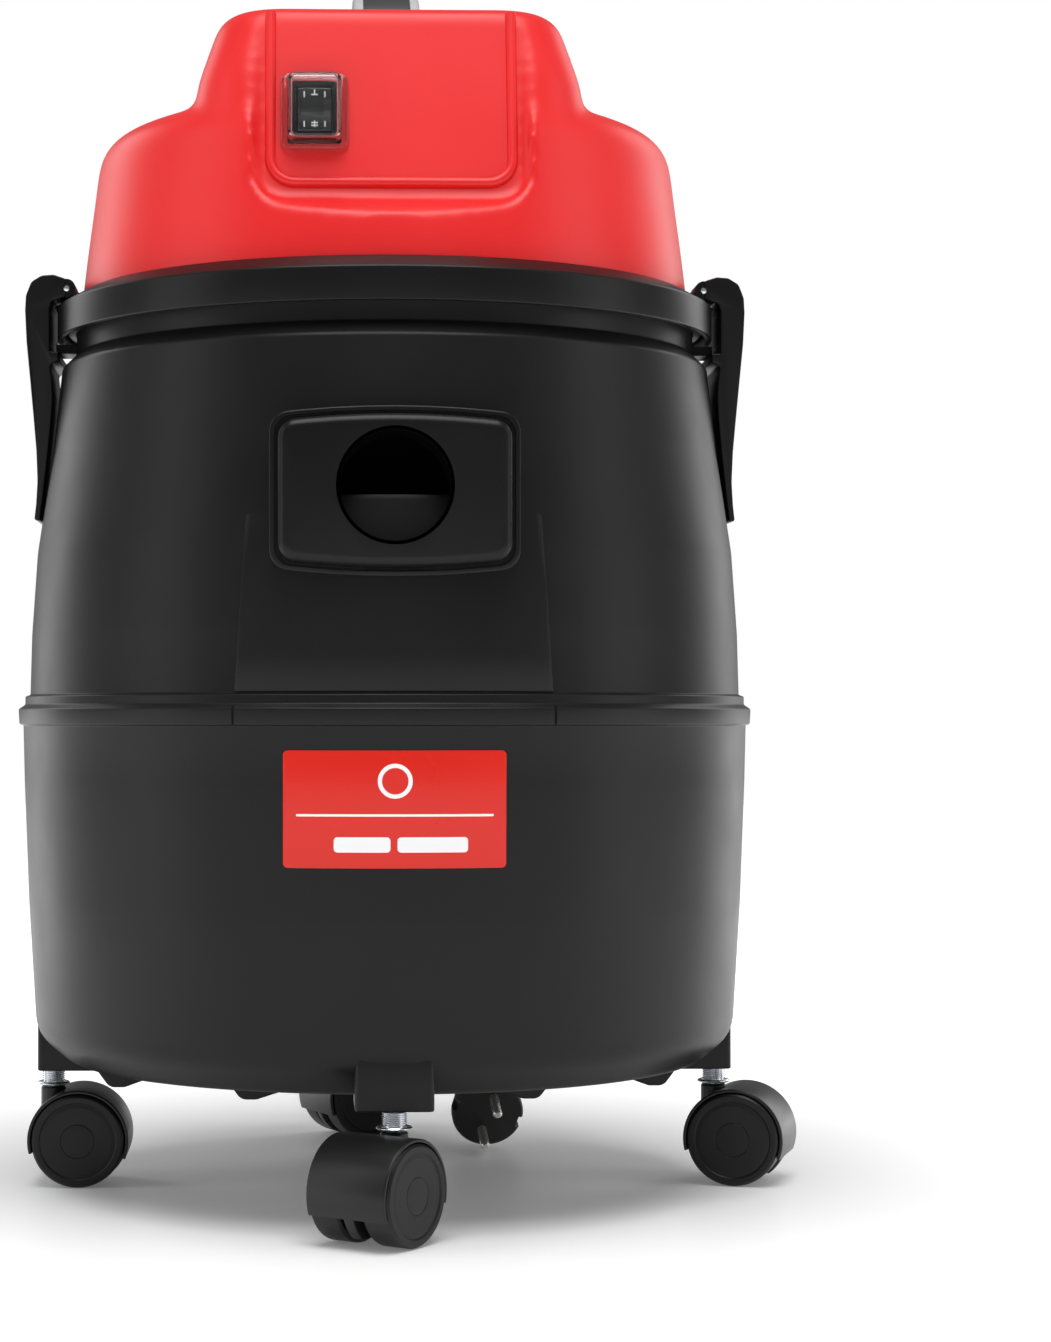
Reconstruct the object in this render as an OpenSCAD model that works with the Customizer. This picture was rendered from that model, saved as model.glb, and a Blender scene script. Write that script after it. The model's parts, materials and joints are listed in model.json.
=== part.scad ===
// Wet and dry shop vacuum: a round moulded tank on four twin-wheel casters, with a lift-off motor head.
// Millimetres, +Z up. The origin is on the floor, on the tank's axis. The hose inlet and the switch face -Y.

/* [Tank] */
// Height of the tank's underside above the floor
tank_floor_z = 60; // [58:0.5:61]
// Thickness of the moulded tank wall
tank_wall = 3; // [2.5:0.1:3.5]
// Outer radius of the flange round the middle of the tank
flange_r = 175; // [174:0.5:176]
// Outer radius of the neck that carries the head
neck_r = 147.5; // [147:0.1:148]
// Height of the top of the tank's rim
rim_z = 409; // [408.5:0.1:409.5]

/* [Hose inlet] */
// Height of the inlet's centre
inlet_z = 321; // [315:1:327]
// Radius of the bore that takes the hose cuff
inlet_bore_r = 23.6; // [21:0.1:24]
// Width of the inlet's mounting pad
pad_w = 107; // [100:1:112]
// Height of the inlet's mounting pad
pad_h = 73; // [68:1:78]

/* [Head] */
// Thickness of the red cover
cover_wall = 3; // [2.5:0.1:3.5]
// Height of the top of the cover
tower_top_z = 541; // [538:1:543]
// Half of the cover tower's width at its foot
tower_half_w = 85; // [82:1:88]
// Lean of the flat switch panel from upright, in degrees
panel_lean = 12; // [10:1:14]
// Highest point of the carry handle, and of the whole vacuum
handle_top_z = 570; // [566:1:574]
// Width of the carry handle
handle_w = 31; // [28:1:34]

/* [Latches] */
// Width of each latch lever along the rim
latch_w = 52; // [40:2:60]
// Radius of each latch's hinge pin
latch_pin_r = 1.6; // [1.5:0.1:1.8]

/* [Casters] */
// Distance from the tank's axis to each caster's stem
caster_ring_r = 159; // [157:0.5:160]
// Radius of each caster wheel
wheel_r = 22; // [21.5:0.1:22.5]
// Distance from the stem to the wheels' axle
caster_trail = 13; // [12:0.5:14]
// Radius of each caster's hood
hood_r = 24; // [23.5:0.1:24.5]
// Direction in which each caster trails, in degrees: right, rear, left, front
caster_heading = [-19, 205, 0, 234];

/* [Motor] */
// Radius of the armature's shaft
shaft_r = 4; // [3.5:0.1:4.5]
// Radius of the suction fan
fan_r = 60; // [50:1:62]
// Number of blades in the suction fan
fan_blades = 7; // [5:1:9]

/* [Mains lead] */
// Diameter of the mains lead
cord_d = 7; // [6.8:0.1:7.2]
// Mean radius of the coil of put-away lead
coil_mean_r = 45; // [44:1:46]

/* [Hidden] */
$fn = 96;

running = 0.05;      // radial clearance of a shaft that turns in a hole
apart = 0.5;         // gap between faces of different bodies
mould_black = [0.10, 0.10, 0.11];
cover_red = [0.85, 0.11, 0.11];
zinc = [0.80, 0.82, 0.85];

// Outer profile of the tank, from the middle of its underside to its rim: [radius, height]
tank_side = [[166.9, 85], [170, 136], [172.1, 193], [172.7, 216]];
tank_taper = [[169.3, 233.5], [168.8, 250], [167.8, 278], [165.9, 301], [162.6, 315.5], [158.8, 347.6],
              [155.8, 373.7], [154.5, 386], [152.9, 391]];
tank_outer = concat(
    [[0, tank_floor_z], [145, tank_floor_z], [155, tank_floor_z + 1.5], [161, 66], [164.5, 74]],
    tank_side,
    [[flange_r, 219], [flange_r, 226.5], [171.8, 229.5], [171.8, 232.5]],
    tank_taper,
    [[neck_r, 395], [neck_r, rim_z - 3], [151.5, rim_z - 3], [151.5, rim_z]]);
tank_inner = concat(
    [[0, tank_floor_z + tank_wall + 1], [146, tank_floor_z + tank_wall + 1], [158, 68], [161.5, 76]],
    [for (p = tank_side) p - [tank_wall, 0]],
    [for (p = tank_taper) p - [tank_wall, 0]],
    [[neck_r - tank_wall, 393], [neck_r - tank_wall, rim_z]]);
drum_split = 66;     // height where the floor's node ends and the drum's begins
top_split = 229.5;   // height where the drum's upper part begins, on top of the flange
front_split = 112;   // the upper tank's front, with the inlet, is a node of its own beyond this distance from the axis
foot_z = 51;         // lowest point of the moulded feet under the tank
boss_z = 55;         // underside of the caster bosses
boss_w = 34;
boss_out_r = 165.5;
stem_r = 5;
panel_top_half_w = 63;
panel_foot_half_w = 69;
label_z = 184;
label_t = 0.5;
label_back = [[170.5, 150], tank_side[2], tank_side[3]];

band_r = 156.6;      // outside of the black band that covers the tank's rim
band_z = 402;
plate_z = 412;       // underside of the head's plate
plate_top_z = 416;
cover_foot_z = 423;
suction_r = 20;

// Outer profile of the red cover's round skirt
skirt = [[144.5, cover_foot_z], [143.4, 432], [142, 443.5], [138.9, 466], [137, 481.5], [135.6, 488],
         [132.6, 492.6], [128, 496.2], [117.5, 499.8], [106, 503.4], [95, 505.8], [0, 508]];
tower_front_y = -121;
tower_back_y = 92;
panel_y = -122;      // front of the switch panel at panel_z
panel_z = 455;
panel_half_w = 55;
handle_y = 12;       // middle of the carry handle
pocket_floor_z = 514;

switch_x = -34;
switch_up = 36;      // distance of the switch's centre up the panel from panel_z
rocker_swing = 10;

latch_pivot = [151, 425.5];
latch_ear_half_w = 8;

axle_z = wheel_r;
axle_r = 2;
wheel_w = 15;
wheel_gap = 6;       // from the caster's middle to the inside of each wheel
housing_half_w = wheel_gap + wheel_w - 1;

motor_r = 42;
stator_z = 452;
stator_top_z = 486;

float_r = 23;
float_z = 330;
cage_z = 302;
cage_r = 50;

cord_x = -10;
cord_exit_z = 436;
coil_xy = [15, 395];
coil_h = 4 * cord_d;
floor_lie = 3.6;     // height of the lead's middle where it lies on the floor
lead_path = [[-10, 150, 436], [-10, 170, 436], [-10, 187, 434], [-10, 200, 427], [-10, 207, 414], [-10, 209, 396],
             [-10, 209, 350], [-10, 208, 290], [-10, 208, 230], [-10, 208, 170], [-10, 208, 110], [-10, 208, 64],
             [-10, 209, 40], [-11, 214, 22], [-12, 226, 9], [-14, 243, 4], [-17, 265, 3.6], [-22, 290, 3.6],
             [-28, 318, 3.6], [-34, 350, 3.6],
             [-36, 374, 3.6]];
tail_path = [[67, 374, 22], [66, 358, 15], [65, 342, 8], [63, 326, 4], [61, 305, 3.6], [60, 285, 3.6], [59, 268, 4.5],
             [58, 250, 10], [57, 232, 20], [56, 214, 30], [55, 198, 36], [54.5, 184, 38.5], [54, 168, 37.5]];
plug_face = [56, 100, 18];
plug_turn = [20, 17, 3];   // tilt of the pins towards the floor, roll and heading of the plug, in degrees
plug_len = 38;
plug_boot_len = 26;

// ---------- shared shapes ----------

// A solid of revolution from a closed list of [radius, height]
module turned(points) rotate_extrude() polygon(points);

// A flat ring from z to z + h
module ring(r_out, r_in, z, h) translate([0, 0, z]) difference() {
    cylinder(r = r_out, h = h);
    translate([0, 0, -1]) cylinder(r = r_in, h = h + 2);
}

// A rounded rectangle with corners of radius r
module rounded(w, h, r) hull() for (x = [-1, 1], y = [-1, 1])
    translate([x * (w / 2 - r), y * (h / 2 - r)]) circle(r, $fn = 32);

// The plane of the switch panel: children are drawn with X across it, Y up it and Z out of it
module on_panel() translate([0, panel_y, panel_z]) rotate([90 - panel_lean, 0, 0]) children();

// The places of the four casters, counted as right, rear, left, front
module at_caster(i) rotate([0, 0, 90 * i]) translate([caster_ring_r, 0, 0]) rotate([0, 0, -90 * i]) children();

// A tube swept along a path of points, with rings square to it
function unit(v) = v / norm(v);
function way(path, i) = unit(path[min(i + 1, len(path) - 1)] - path[max(i - 1, 0)]);
function side(w) = unit(abs(w.z) > 0.9 ? cross(w, [1, 0, 0]) : cross(w, [0, 0, 1]));
module swept(path, r, sides) {
    n = len(path);
    // The ring's first direction is carried along, so that the tube doesn't twist
    dirs = [for (i = 0, s = cross(way(path, 0), [1, 0, 0]); i < n;
             i = i + 1, s = i < n ? s - (s * way(path, i)) * way(path, i) : s) unit(s)];
    points = [for (i = [0 : n - 1], k = [0 : sides - 1])
        path[i] + r * (cos(360 * k / sides) * dirs[i] + sin(360 * k / sides) * cross(way(path, i), dirs[i]))];
    walls = [for (i = [0 : n - 2], k = [0 : sides - 1])
        [i * sides + k, (i + 1) * sides + k, (i + 1) * sides + (k + 1) % sides, i * sides + (k + 1) % sides]];
    polyhedron(points, concat(walls, [[for (k = [0 : sides - 1]) k],
        [for (k = [sides - 1 : -1 : 0]) (n - 1) * sides + k]]));
}

// ---------- tank ----------

module tank_feet() for (s = [-1, 1]) scale([s, 1, 1]) {
    wedge([[74, tank_floor_z + 1], [68, foot_z], [62, foot_z], [26, tank_floor_z + 1]], 95);
    wedge([[136, tank_floor_z + 1], [130, foot_z], [124, foot_z], [92, tank_floor_z + 1]], 50);
}

module wedge(outline, half_len) translate([0, half_len, 0]) rotate([90, 0, 0])
    linear_extrude(2 * half_len) polygon(outline);

module tank_panel() intersection() {
    turned(concat([for (p = [for (i = [0 : 4]) tank_taper[i]]) p + [0.8, 0]],
                  [for (i = [4 : -1 : 0]) tank_taper[i] - [1, 0]]));
    translate([0, -100, 0]) rotate([90, 0, 0]) linear_extrude(90)
        polygon([[-panel_foot_half_w, 225], [panel_foot_half_w, 225], [panel_top_half_w, 318], [-panel_top_half_w, 318]]);
}

// The whole drum. It is one moulding, but it is split where its floor and its flange are into three plain rings.
module drum() color(mould_black) difference() {
    union() {
        turned(concat(tank_outer, [for (i = [len(tank_inner) - 1 : -1 : 0]) tank_inner[i]]));
        for (i = [0 : 3]) rotate([0, 0, 90 * i])
            translate([130, -boss_w / 2, boss_z]) cube([boss_out_r - 130, boss_w, 30]);
        tank_feet();
        tank_panel();
        for (s = [0, 180]) rotate([0, 0, s]) intersection() {
            translate([145, -10, 396.4]) cube([15, 20, 4.4]);
            cylinder(r = 157, h = 500);
        }
    }
    translate([0, -130, inlet_z]) rotate([90, 0, 0]) cylinder(r = inlet_bore_r + 1.6, h = 60);
    for (i = [0 : 3]) at_caster(i) translate([0, 0, boss_z - 1]) cylinder(r = stem_r, h = 24, $fn = 48);
    for (s = [-1, 1]) translate([s * panel_foot_half_w, -160.5, 225.5]) rotate([0, 0, s * 23])
        cube([0.8, 4, 15], center = true);
}

module drum_between(low, high) intersection() {
    drum();
    translate([-200, -200, low]) cube([400, 400, high - low]);
}
module tank_floor() drum_between(foot_z - 1, drum_split);
module tank() drum_between(drum_split, top_split);
module tank_front() intersection() {
    drum_between(top_split, rim_z + 1);
    translate([-200, -200, top_split]) cube([400, 200 - front_split, 300]);
}
module tank_top() difference() {
    drum_between(top_split, rim_z + 1);
    translate([-200, -200, top_split - 1]) cube([400, 200 - front_split, 300]);
}

module front_label() color(cover_red) intersection() {
    turned(concat([for (p = label_back) p + [label_t, 0]], [for (i = [2 : -1 : 0]) label_back[i]]));
    translate([0, -120, label_z]) rotate([90, 0, 0]) linear_extrude(80) square([95, 50], center = true);
}

// ---------- hose inlet ----------

module inlet_collar() color(mould_black) difference() {
    union() {
        translate([0, -140, inlet_z - 2]) rotate([90, 0, 0]) linear_extrude(30) rounded(pad_w, pad_h, 10);
        translate([0, -140, inlet_z - 2]) rotate([90, 0, 0]) linear_extrude(36) rounded(pad_w - 9, pad_h - 9, 8);
        translate([0, -138, inlet_z]) rotate([90, 0, 0]) cylinder(r = inlet_bore_r + 1.4, h = 38);
    }
    difference() {
        turned(tank_outer);
        translate([0, -130, inlet_z]) rotate([90, 0, 0]) cylinder(r = inlet_bore_r + 1.5, h = 60);
    }
    translate([0, -130, inlet_z]) rotate([90, 0, 0]) cylinder(r = inlet_bore_r, h = 60);
}

module inlet_deflector() color(mould_black) translate([0, 0, inlet_z]) difference() {
    translate([-32, -138, -34]) cube([64, 38, 68]);
    translate([-30, -136, -36]) cube([60, 34, 68]);
    translate([0, -130, 0]) rotate([90, 0, 0]) cylinder(r = inlet_bore_r + 1.4, h = 20);
}

// ---------- head ----------

module head_base() color(mould_black) difference() {
    union() {
        turned([[suction_r, plate_z - 6], [suction_r + 3, plate_z - 6], [suction_r + 3, plate_z], [141, plate_z],
                [141, 399], [143.5, 399], [143.5, plate_z], [153.4, plate_z], [153.4, band_z], [band_r, band_z],
                [band_r, 417], [145, cover_foot_z], [141.8, cover_foot_z], [141.8, 419], [140, plate_top_z],
                [suction_r, plate_top_z]]);
        for (s = [-1, 1]) translate([s * latch_pivot.x, 0, 0]) {
            translate([-3.4, -latch_ear_half_w, 415]) cube([6.8, 2 * latch_ear_half_w, latch_pivot.y - 415]);
            translate([0, latch_ear_half_w, latch_pivot.y]) rotate([90, 0, 0])
                cylinder(r = 3.4, h = 2 * latch_ear_half_w);
        }
    }
    for (s = [-1, 1]) translate([s * latch_pivot.x, 30, latch_pivot.y]) rotate([90, 0, 0])
        cylinder(r = latch_pin_r, h = 60);
}

module head_gasket() color("dimgray") ring(150.5, 145.5, rim_z, plate_z - rim_z);

module skirt_shape(inset) turned(concat([[0, cover_foot_z - (inset > 0 ? 5 : 0)]],
    inset > 0 ? [[skirt[0].x - inset, cover_foot_z - 5]] : [],
    [for (p = skirt) [max(p.x - inset, 0), p.y - (p.x < 134 ? inset : 0)]]));

// The raised middle of the cover: a leaning block with round corners
module tower_shape(inset) hull() {
    for (x = [-1, 1], y = [tower_front_y + 32, tower_back_y - 32])
        translate([x * (tower_half_w - 32), y, 470]) cylinder(r = 32 - inset, h = 2, $fn = 32);
    for (x = [-1, 1], y = [tower_front_y + 42, tower_back_y - 42])
        translate([x * (tower_half_w - 37), y, tower_top_z - 26]) {
            cylinder(r = 31 - inset, h = 14, $fn = 32);
            cylinder(r = 22 - inset, h = 26 - inset, $fn = 32);
        }
}

module panel_outline(grow) translate([0, 50]) rounded(2 * (panel_half_w + grow), 100 + 2 * grow, 8 + grow);

module head_cover() color(cover_red) difference() {
    union() {
        difference() {
            union() {
                skirt_shape(0);
                tower_shape(0);
            }
            skirt_shape(cover_wall);
            tower_shape(cover_wall);
            on_panel() linear_extrude(60) panel_outline(0);
        }
        intersection() {
            on_panel() translate([0, 0, -cover_wall]) linear_extrude(cover_wall) panel_outline(2);
            union() {
                skirt_shape(0);
                tower_shape(0);
            }
        }
        translate([-37, handle_y - 53, pocket_floor_z]) cube([74, 106, tower_top_z - 2 - pocket_floor_z]);
    }
    translate([-34, handle_y - 50, pocket_floor_z + 3]) cube([68, 100, 60]);
    on_panel() translate([switch_x, switch_up, -8]) linear_extrude(12) square([20, 27], center = true);
    for (i = [-4 : 4]) rotate([0, 0, 90 + 5.4 * i]) translate([120, -2.5, 450]) cube([40, 5, 26]);
    translate([cord_x, 120, cord_exit_z]) rotate([-90, 0, 0]) cylinder(r = 8, h = 40, $fn = 48);
}

module cover_screws() color(zinc) for (a = [45 : 90 : 315]) rotate([0, 0, a])
    translate([130, 0, plate_z - 2.5]) {
        cylinder(r = 4, h = 2.5, $fn = 32);
        cylinder(r = 2, h = 3.5, $fn = 32);
    }

module carry_handle() color(mould_black) intersection() {
    translate([-handle_w / 2, handle_y, 0]) rotate([90, 0, 90]) linear_extrude(handle_w) difference() {
        hull() {
            translate([0, handle_top_z - 30]) scale([1, 0.5]) circle(60, $fn = 64);
            translate([-62, tower_top_z - 3]) square([124, 4]);
        }
        hull() {
            translate([0, handle_top_z - 44]) scale([1, 0.5]) circle(48, $fn = 64);
            translate([-48, 500]) square([96, 4]);
        }
    }
    translate([-50, -100, tower_top_z - 0.1]) cube([100, 200, 60]);
}

module handle_insert() color("dimgray") intersection() {
    translate([-11, handle_y, 0]) rotate([90, 0, 90]) linear_extrude(22) difference() {
        translate([0, handle_top_z - 30 + 0.8]) scale([1, 0.5]) circle(60, $fn = 64);
        translate([0, handle_top_z - 30]) scale([1, 0.5]) circle(60, $fn = 64);
        translate([-70, 480]) square([140, 76]);
    }
    translate([-50, -100, 540]) cube([100, 200, 60]);
}

// ---------- switch ----------

module switch_body() color(mould_black) on_panel() translate([switch_x, switch_up, 0]) difference() {
    union() {
        translate([0, 0, -24]) linear_extrude(24) square([19.6, 26.6], center = true);
        linear_extrude(2) rounded(24, 31, 2);
    }
    translate([0, 0, -12]) linear_extrude(20) square([16, 23], center = true);
}

module switch_rocker() color("black") on_panel() translate([switch_x, switch_up, -3]) rotate([0, 90, 0])
    difference() {
        union() {
            cylinder(r = 3.5, h = 14.8, center = true, $fn = 48);
            translate([0, 0, -7.4]) linear_extrude(14.8) polygon([[0, -3], [-6, -10.2], [-7.2, -10.2], [-6.4, 0],
                [-7.2, 10.2], [-6, 10.2], [0, 3]]);
        }
        cylinder(r = 1, h = 20, center = true, $fn = 48);
    }

module switch_boot() color([0.9, 0.95, 1, 0.35]) on_panel() translate([switch_x, switch_up, 0]) difference() {
    union() {
        linear_extrude(3) rounded(30, 36, 4);
        linear_extrude(10) rounded(24, 31, 3.5);
    }
    translate([0, 0, -1]) linear_extrude(3) rounded(24.2, 31.2, 2);
    translate([0, 0, -1]) linear_extrude(10) rounded(21, 28.5, 2.5);
}

// ---------- latches ----------

module latch_shape() difference() {
    union() {
        translate([0, latch_w / 2, 0]) rotate([90, 0, 0]) linear_extrude(latch_w)
            polygon([[151, 429.9], [157, 431.8], [162.5, 431.5], [167, 428.5], [169.8, 423], [170.3, 416], [169.6, 400],
                [168, 382], [166.6, 365], [165.4, 349], [165, 335], [165.6, 324], [166.6, 316.5], [163.9, 316.3],
                [162.6, 326], [161.1, 338], [159.7, 350], [158, 366], [157.4, 376], [157.8, 383], [158.6, 389.5],
                [154.6, 391.5], [154.6, 395.5], [158.8, 395.5], [158.8, 416], [157.5, 419.5], [151, 421.3]]);
        translate([latch_pivot.x, latch_w / 2, latch_pivot.y]) rotate([90, 0, 0]) cylinder(r = 4.4, h = latch_w);
    }
    translate([140, -latch_ear_half_w - apart, 410]) cube([18, 2 * (latch_ear_half_w + apart), 30]);
    translate([latch_pivot.x, 50, latch_pivot.y]) rotate([90, 0, 0]) cylinder(r = latch_pin_r + running, h = 100);
}

module latch_left() color(mould_black) rotate([0, 0, 180]) latch_shape();
module latch_right() color(mould_black) latch_shape();
module latch_pins() color(zinc) for (s = [-1, 1]) translate([s * latch_pivot.x, latch_w / 2 - 1, latch_pivot.y])
    rotate([90, 0, 0]) cylinder(r = latch_pin_r, h = latch_w - 2);

// ---------- motor ----------

module fan_housing() color("silver") union() {
    ring(fan_r + 6, suction_r + 2, plate_top_z + 2, 1.2);
    ring(fan_r + 6, fan_r + 4.8, plate_top_z + 2, 26);
    difference() {
        translate([0, 0, plate_top_z + 27]) cylinder(r = fan_r + 6, h = 1.2);
        cylinder(r = 7, h = 600);
        for (a = [0 : 45 : 315]) rotate([0, 0, a]) translate([52, 0, 0]) cylinder(r = 5, h = 600);
    }
    ring(13, 11, plate_top_z + 28, 7);
}

module motor_seal() color("dimgray") ring(fan_r + 4, suction_r + 4, plate_top_z, 2);

module motor_fan() color("gainsboro") difference() {
    union() {
        translate([0, 0, 421.5]) cylinder(r = fan_r, h = 1.2);
        translate([0, 0, 431]) cylinder(r = fan_r, h = 1.2);
        translate([0, 0, 421.5]) cylinder(r = 9, h = 14);
        intersection() {
            for (i = [0 : fan_blades - 1]) rotate([0, 0, 360 * i / fan_blades]) translate([30, 0, 421.5])
                difference() {
                    cylinder(r = 34, h = 10);
                    translate([0, 0, -1]) cylinder(r = 32.8, h = 12);
                    translate([-40, -80, -1]) cube([120, 80, 12]);
                }
            ring(fan_r, 5, 421.5, 10);
        }
    }
    ring(suction_r - 2, 9, 420, 4);
    translate([0, 0, 400]) cylinder(r = shaft_r, h = 60);
}

module motor_armature() color("silver") {
    translate([0, 0, 421]) cylinder(r = shaft_r, h = 88);
    translate([0, 0, stator_z + 1]) cylinder(r = 20, h = 32);
    translate([0, 0, stator_top_z + 1]) cylinder(r = 12, h = 9);
}

module motor_stator() color("gray") {
    ring(motor_r, 21, stator_z, stator_top_z - stator_z);
    ring(motor_r - 8, 24, stator_z - 4, 4);
    for (a = [45 : 90 : 315]) rotate([0, 0, a]) translate([36, 0, plate_top_z + 28]) cylinder(r = 3, h = 10);
}

module motor_bracket() color("gray") difference() {
    union() {
        ring(motor_r, motor_r - 3, stator_top_z, 16);
        translate([-7, -motor_r + 1, stator_top_z + 13]) cube([14, 2 * motor_r - 2, 8]);
        translate([0, 0, stator_top_z + 13]) cylinder(r = 14, h = 10);
        for (s = [-1, 1]) translate([s * 27 - 13, -6, stator_top_z]) cube([26, 12, 12]);
    }
    translate([0, 0, stator_top_z + 15]) cylinder(r = 9.5, h = 6);
    translate([0, 0, stator_top_z - 1]) cylinder(r = 13.5, h = 14);
    translate([0, 0, stator_top_z]) cylinder(r = 6, h = 40);
    for (s = [-1, 1]) translate([s * 24 - 17, -3, stator_top_z + 3]) cube([34, 6, 6]);
}

module motor_bearings() color("silver") {
    ring(11, shaft_r + running, plate_top_z + 28.2, 6);
    ring(9.5, shaft_r + running, stator_top_z + 15, 6);
}

module carbon_brushes() color([0.2, 0.2, 0.2]) for (s = [-1, 1])
    translate([s * 20.5 - 8, -3, stator_top_z + 3]) cube([16, 6, 6]);

module exhaust_foam() color([0.25, 0.25, 0.28]) difference() {
    ring(132, 122, 446, 32);
    translate([-200, -200, 400]) cube([400, 280, 200]);
}

// ---------- filter ----------

module filter_cage() color(mould_black) difference() {
    union() {
        ring(cage_r + 6, cage_r - 3, plate_z - 3, 3);
        ring(cage_r, cage_r - 3, cage_z, plate_z - cage_z);
        translate([0, 0, cage_z]) cylinder(r = cage_r + 18, h = 3);
    }
    for (a = [0 : 45 : 315]) rotate([0, 0, a]) translate([30, -12, cage_z + 30]) cube([30, 24, 60]);
    translate([0, 0, cage_z - 1]) cylinder(r = 8, h = 10);
}

module filter_sleeve() color("white") ring(cage_r + 18, cage_r + 0.5, cage_z + 3, plate_z - cage_z - 6);

module float_ball() color("orange") translate([0, 0, float_z]) sphere(r = float_r);

// ---------- mains lead ----------

module cord_grip() color(mould_black) translate([cord_x, 134, cord_exit_z]) rotate([-90, 0, 0]) difference() {
    union() {
        cylinder(r = 10, h = 3, $fn = 48);
        cylinder(r = 8, h = 12, $fn = 48);
        translate([0, 0, 8]) cylinder(r = 9.5, h = 2.5, $fn = 48);
        translate([0, 0, 10]) cylinder(r1 = 8, r2 = 5.5, h = 32, $fn = 48);
    }
    translate([0, 0, -1]) cylinder(r = cord_d / 2, h = 50, $fn = 48);
}

module cord_lead() color("black") swept(lead_path, cord_d / 2, 8);
module cord_tail() color("black") swept(tail_path, cord_d / 2, 8);
module cord_coil() color("black") translate([coil_xy.x, coil_xy.y, 0])
    ring(coil_mean_r + 2 * cord_d, coil_mean_r - 2 * cord_d, 0, coil_h);

// Children are drawn with the pins along -Y from the plug's face
module at_plug() translate(plug_face) rotate([plug_turn.x, 0, plug_turn.z]) rotate([0, plug_turn.y, 0]) children();

module plug_body() color("black") at_plug() rotate([-90, 0, 0]) difference() {
    union() {
        cylinder(r = 18.5, h = 6, $fn = 64);
        translate([0, 0, 6]) cylinder(r1 = 18.5, r2 = 15, h = 14, $fn = 64);
        translate([0, 0, 20]) cylinder(r1 = 15, r2 = 8, h = plug_len - 20, $fn = 64);
        translate([0, 0, plug_len]) cylinder(r1 = 7, r2 = 5, h = plug_boot_len, $fn = 64);
    }
    for (s = [-1, 1]) translate([s * 18.5 - 2.5, -3, -1]) cube([5, 6, 18]);
    translate([0, 0, plug_len + plug_boot_len - 10]) cylinder(r = cord_d / 2, h = 11, $fn = 48);
}

module plug_pins() color(zinc) at_plug() for (s = [-1, 1]) translate([0, 0, s * 9.5]) rotate([90, 0, 0]) {
    cylinder(r = 2.4, h = 18, $fn = 48);
    translate([0, 0, 18]) cylinder(r1 = 2.4, r2 = 1.4, h = 1, $fn = 48);
}

// ---------- casters ----------

module caster_stem() color(zinc) {
    translate([0, 0, 41]) cylinder(r = 4, h = 36, $fn = 48);
    translate([0, 0, boss_z - 6]) cylinder(r = stem_r + 0.5, h = 6, $fn = 48);
    translate([0, 0, boss_z - 8]) cylinder(r = 8, h = 1.4, $fn = 48);
    translate([0, 0, boss_z]) cylinder(r = stem_r, h = 20, $fn = 48);
}

module caster_housing() color(mould_black) difference() {
    union() {
        translate([caster_trail, housing_half_w, axle_z]) rotate([90, 0, 0]) difference() {
            cylinder(r = hood_r, h = 2 * housing_half_w);
            translate([0, 0, -1]) cylinder(r = hood_r - 1.6, h = 2 * housing_half_w + 2);
            translate([-40, -60, -1]) cube([80, 54, 60]);
        }
        translate([0, 0, 28]) cylinder(r = 6, h = 18.4, $fn = 48);
        translate([caster_trail, 2.5, axle_z]) rotate([90, 0, 0]) cylinder(r = hood_r - 1, h = 5);
        translate([-2, -2.5, 24]) cube([6, 5, 10]);
    }
    translate([0, 0, 40]) cylinder(r = 4 + running, h = 20, $fn = 48);
    translate([caster_trail, 20, axle_z]) rotate([90, 0, 0]) cylinder(r = axle_r, h = 40, $fn = 48);
    translate([-60, -60, -60]) cube([120, 120, 64]);
}

module caster_axle() color(zinc) translate([caster_trail, housing_half_w - 1, axle_z]) rotate([90, 0, 0])
    cylinder(r = axle_r, h = 2 * housing_half_w - 2, $fn = 48);

module caster_wheel(s) color("black") translate([caster_trail, 0, axle_z]) rotate([s * 90, 0, 0]) difference() {
    union() {
        translate([0, 0, wheel_gap]) cylinder(r = wheel_r, h = wheel_w);
        translate([0, 0, 3]) cylinder(r = 6, h = wheel_gap - 3);
    }
    cylinder(r = axle_r + running, h = housing_half_w - 0.5, $fn = 48);
}

module caster(i, piece) at_caster(i) rotate([0, 0, caster_heading[i]]) {
    if (piece == "stem") caster_stem();
    if (piece == "housing") caster_housing();
    if (piece == "axle") caster_axle();
    if (piece == "wheel_a") caster_wheel(1);
    if (piece == "wheel_b") caster_wheel(-1);
}

// ---------- the nodes ----------

tank_floor();
tank();
tank_top();
tank_front();
inlet_collar();
inlet_deflector();
head_base();
head_gasket();
head_cover();
cover_screws();
carry_handle();
handle_insert();
switch_body();
switch_rocker();
switch_boot();
latch_left();
latch_right();
latch_pins();
motor_stator();
motor_armature();
motor_fan();
motor_bracket();
motor_bearings();
carbon_brushes();
fan_housing();
motor_seal();
exhaust_foam();
filter_cage();
filter_sleeve();
float_ball();
front_label();
cord_grip();
cord_lead();
cord_coil();
cord_tail();
plug_body();
plug_pins();
for (i = [0 : 3], p = ["stem", "housing", "axle", "wheel_a", "wheel_b"])
    caster(i, p);
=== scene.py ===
# %% [markdown]
# # A wet and dry shop vacuum
# The red motor head, the black tank and the casters of this vacuum are moulded plastic. Their look comes
# from soft edges and from a fine grain that breaks up the light. The sizes, places and joints come from the
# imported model, which is loaded first and never moved. Each visible moulding is then modelled again on top
# of it, with the rounded edges and the small relief that a mould leaves.

# %% Load the frame
import bmesh
import bpy
import json
import math
from mathutils import Matrix, Vector


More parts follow.
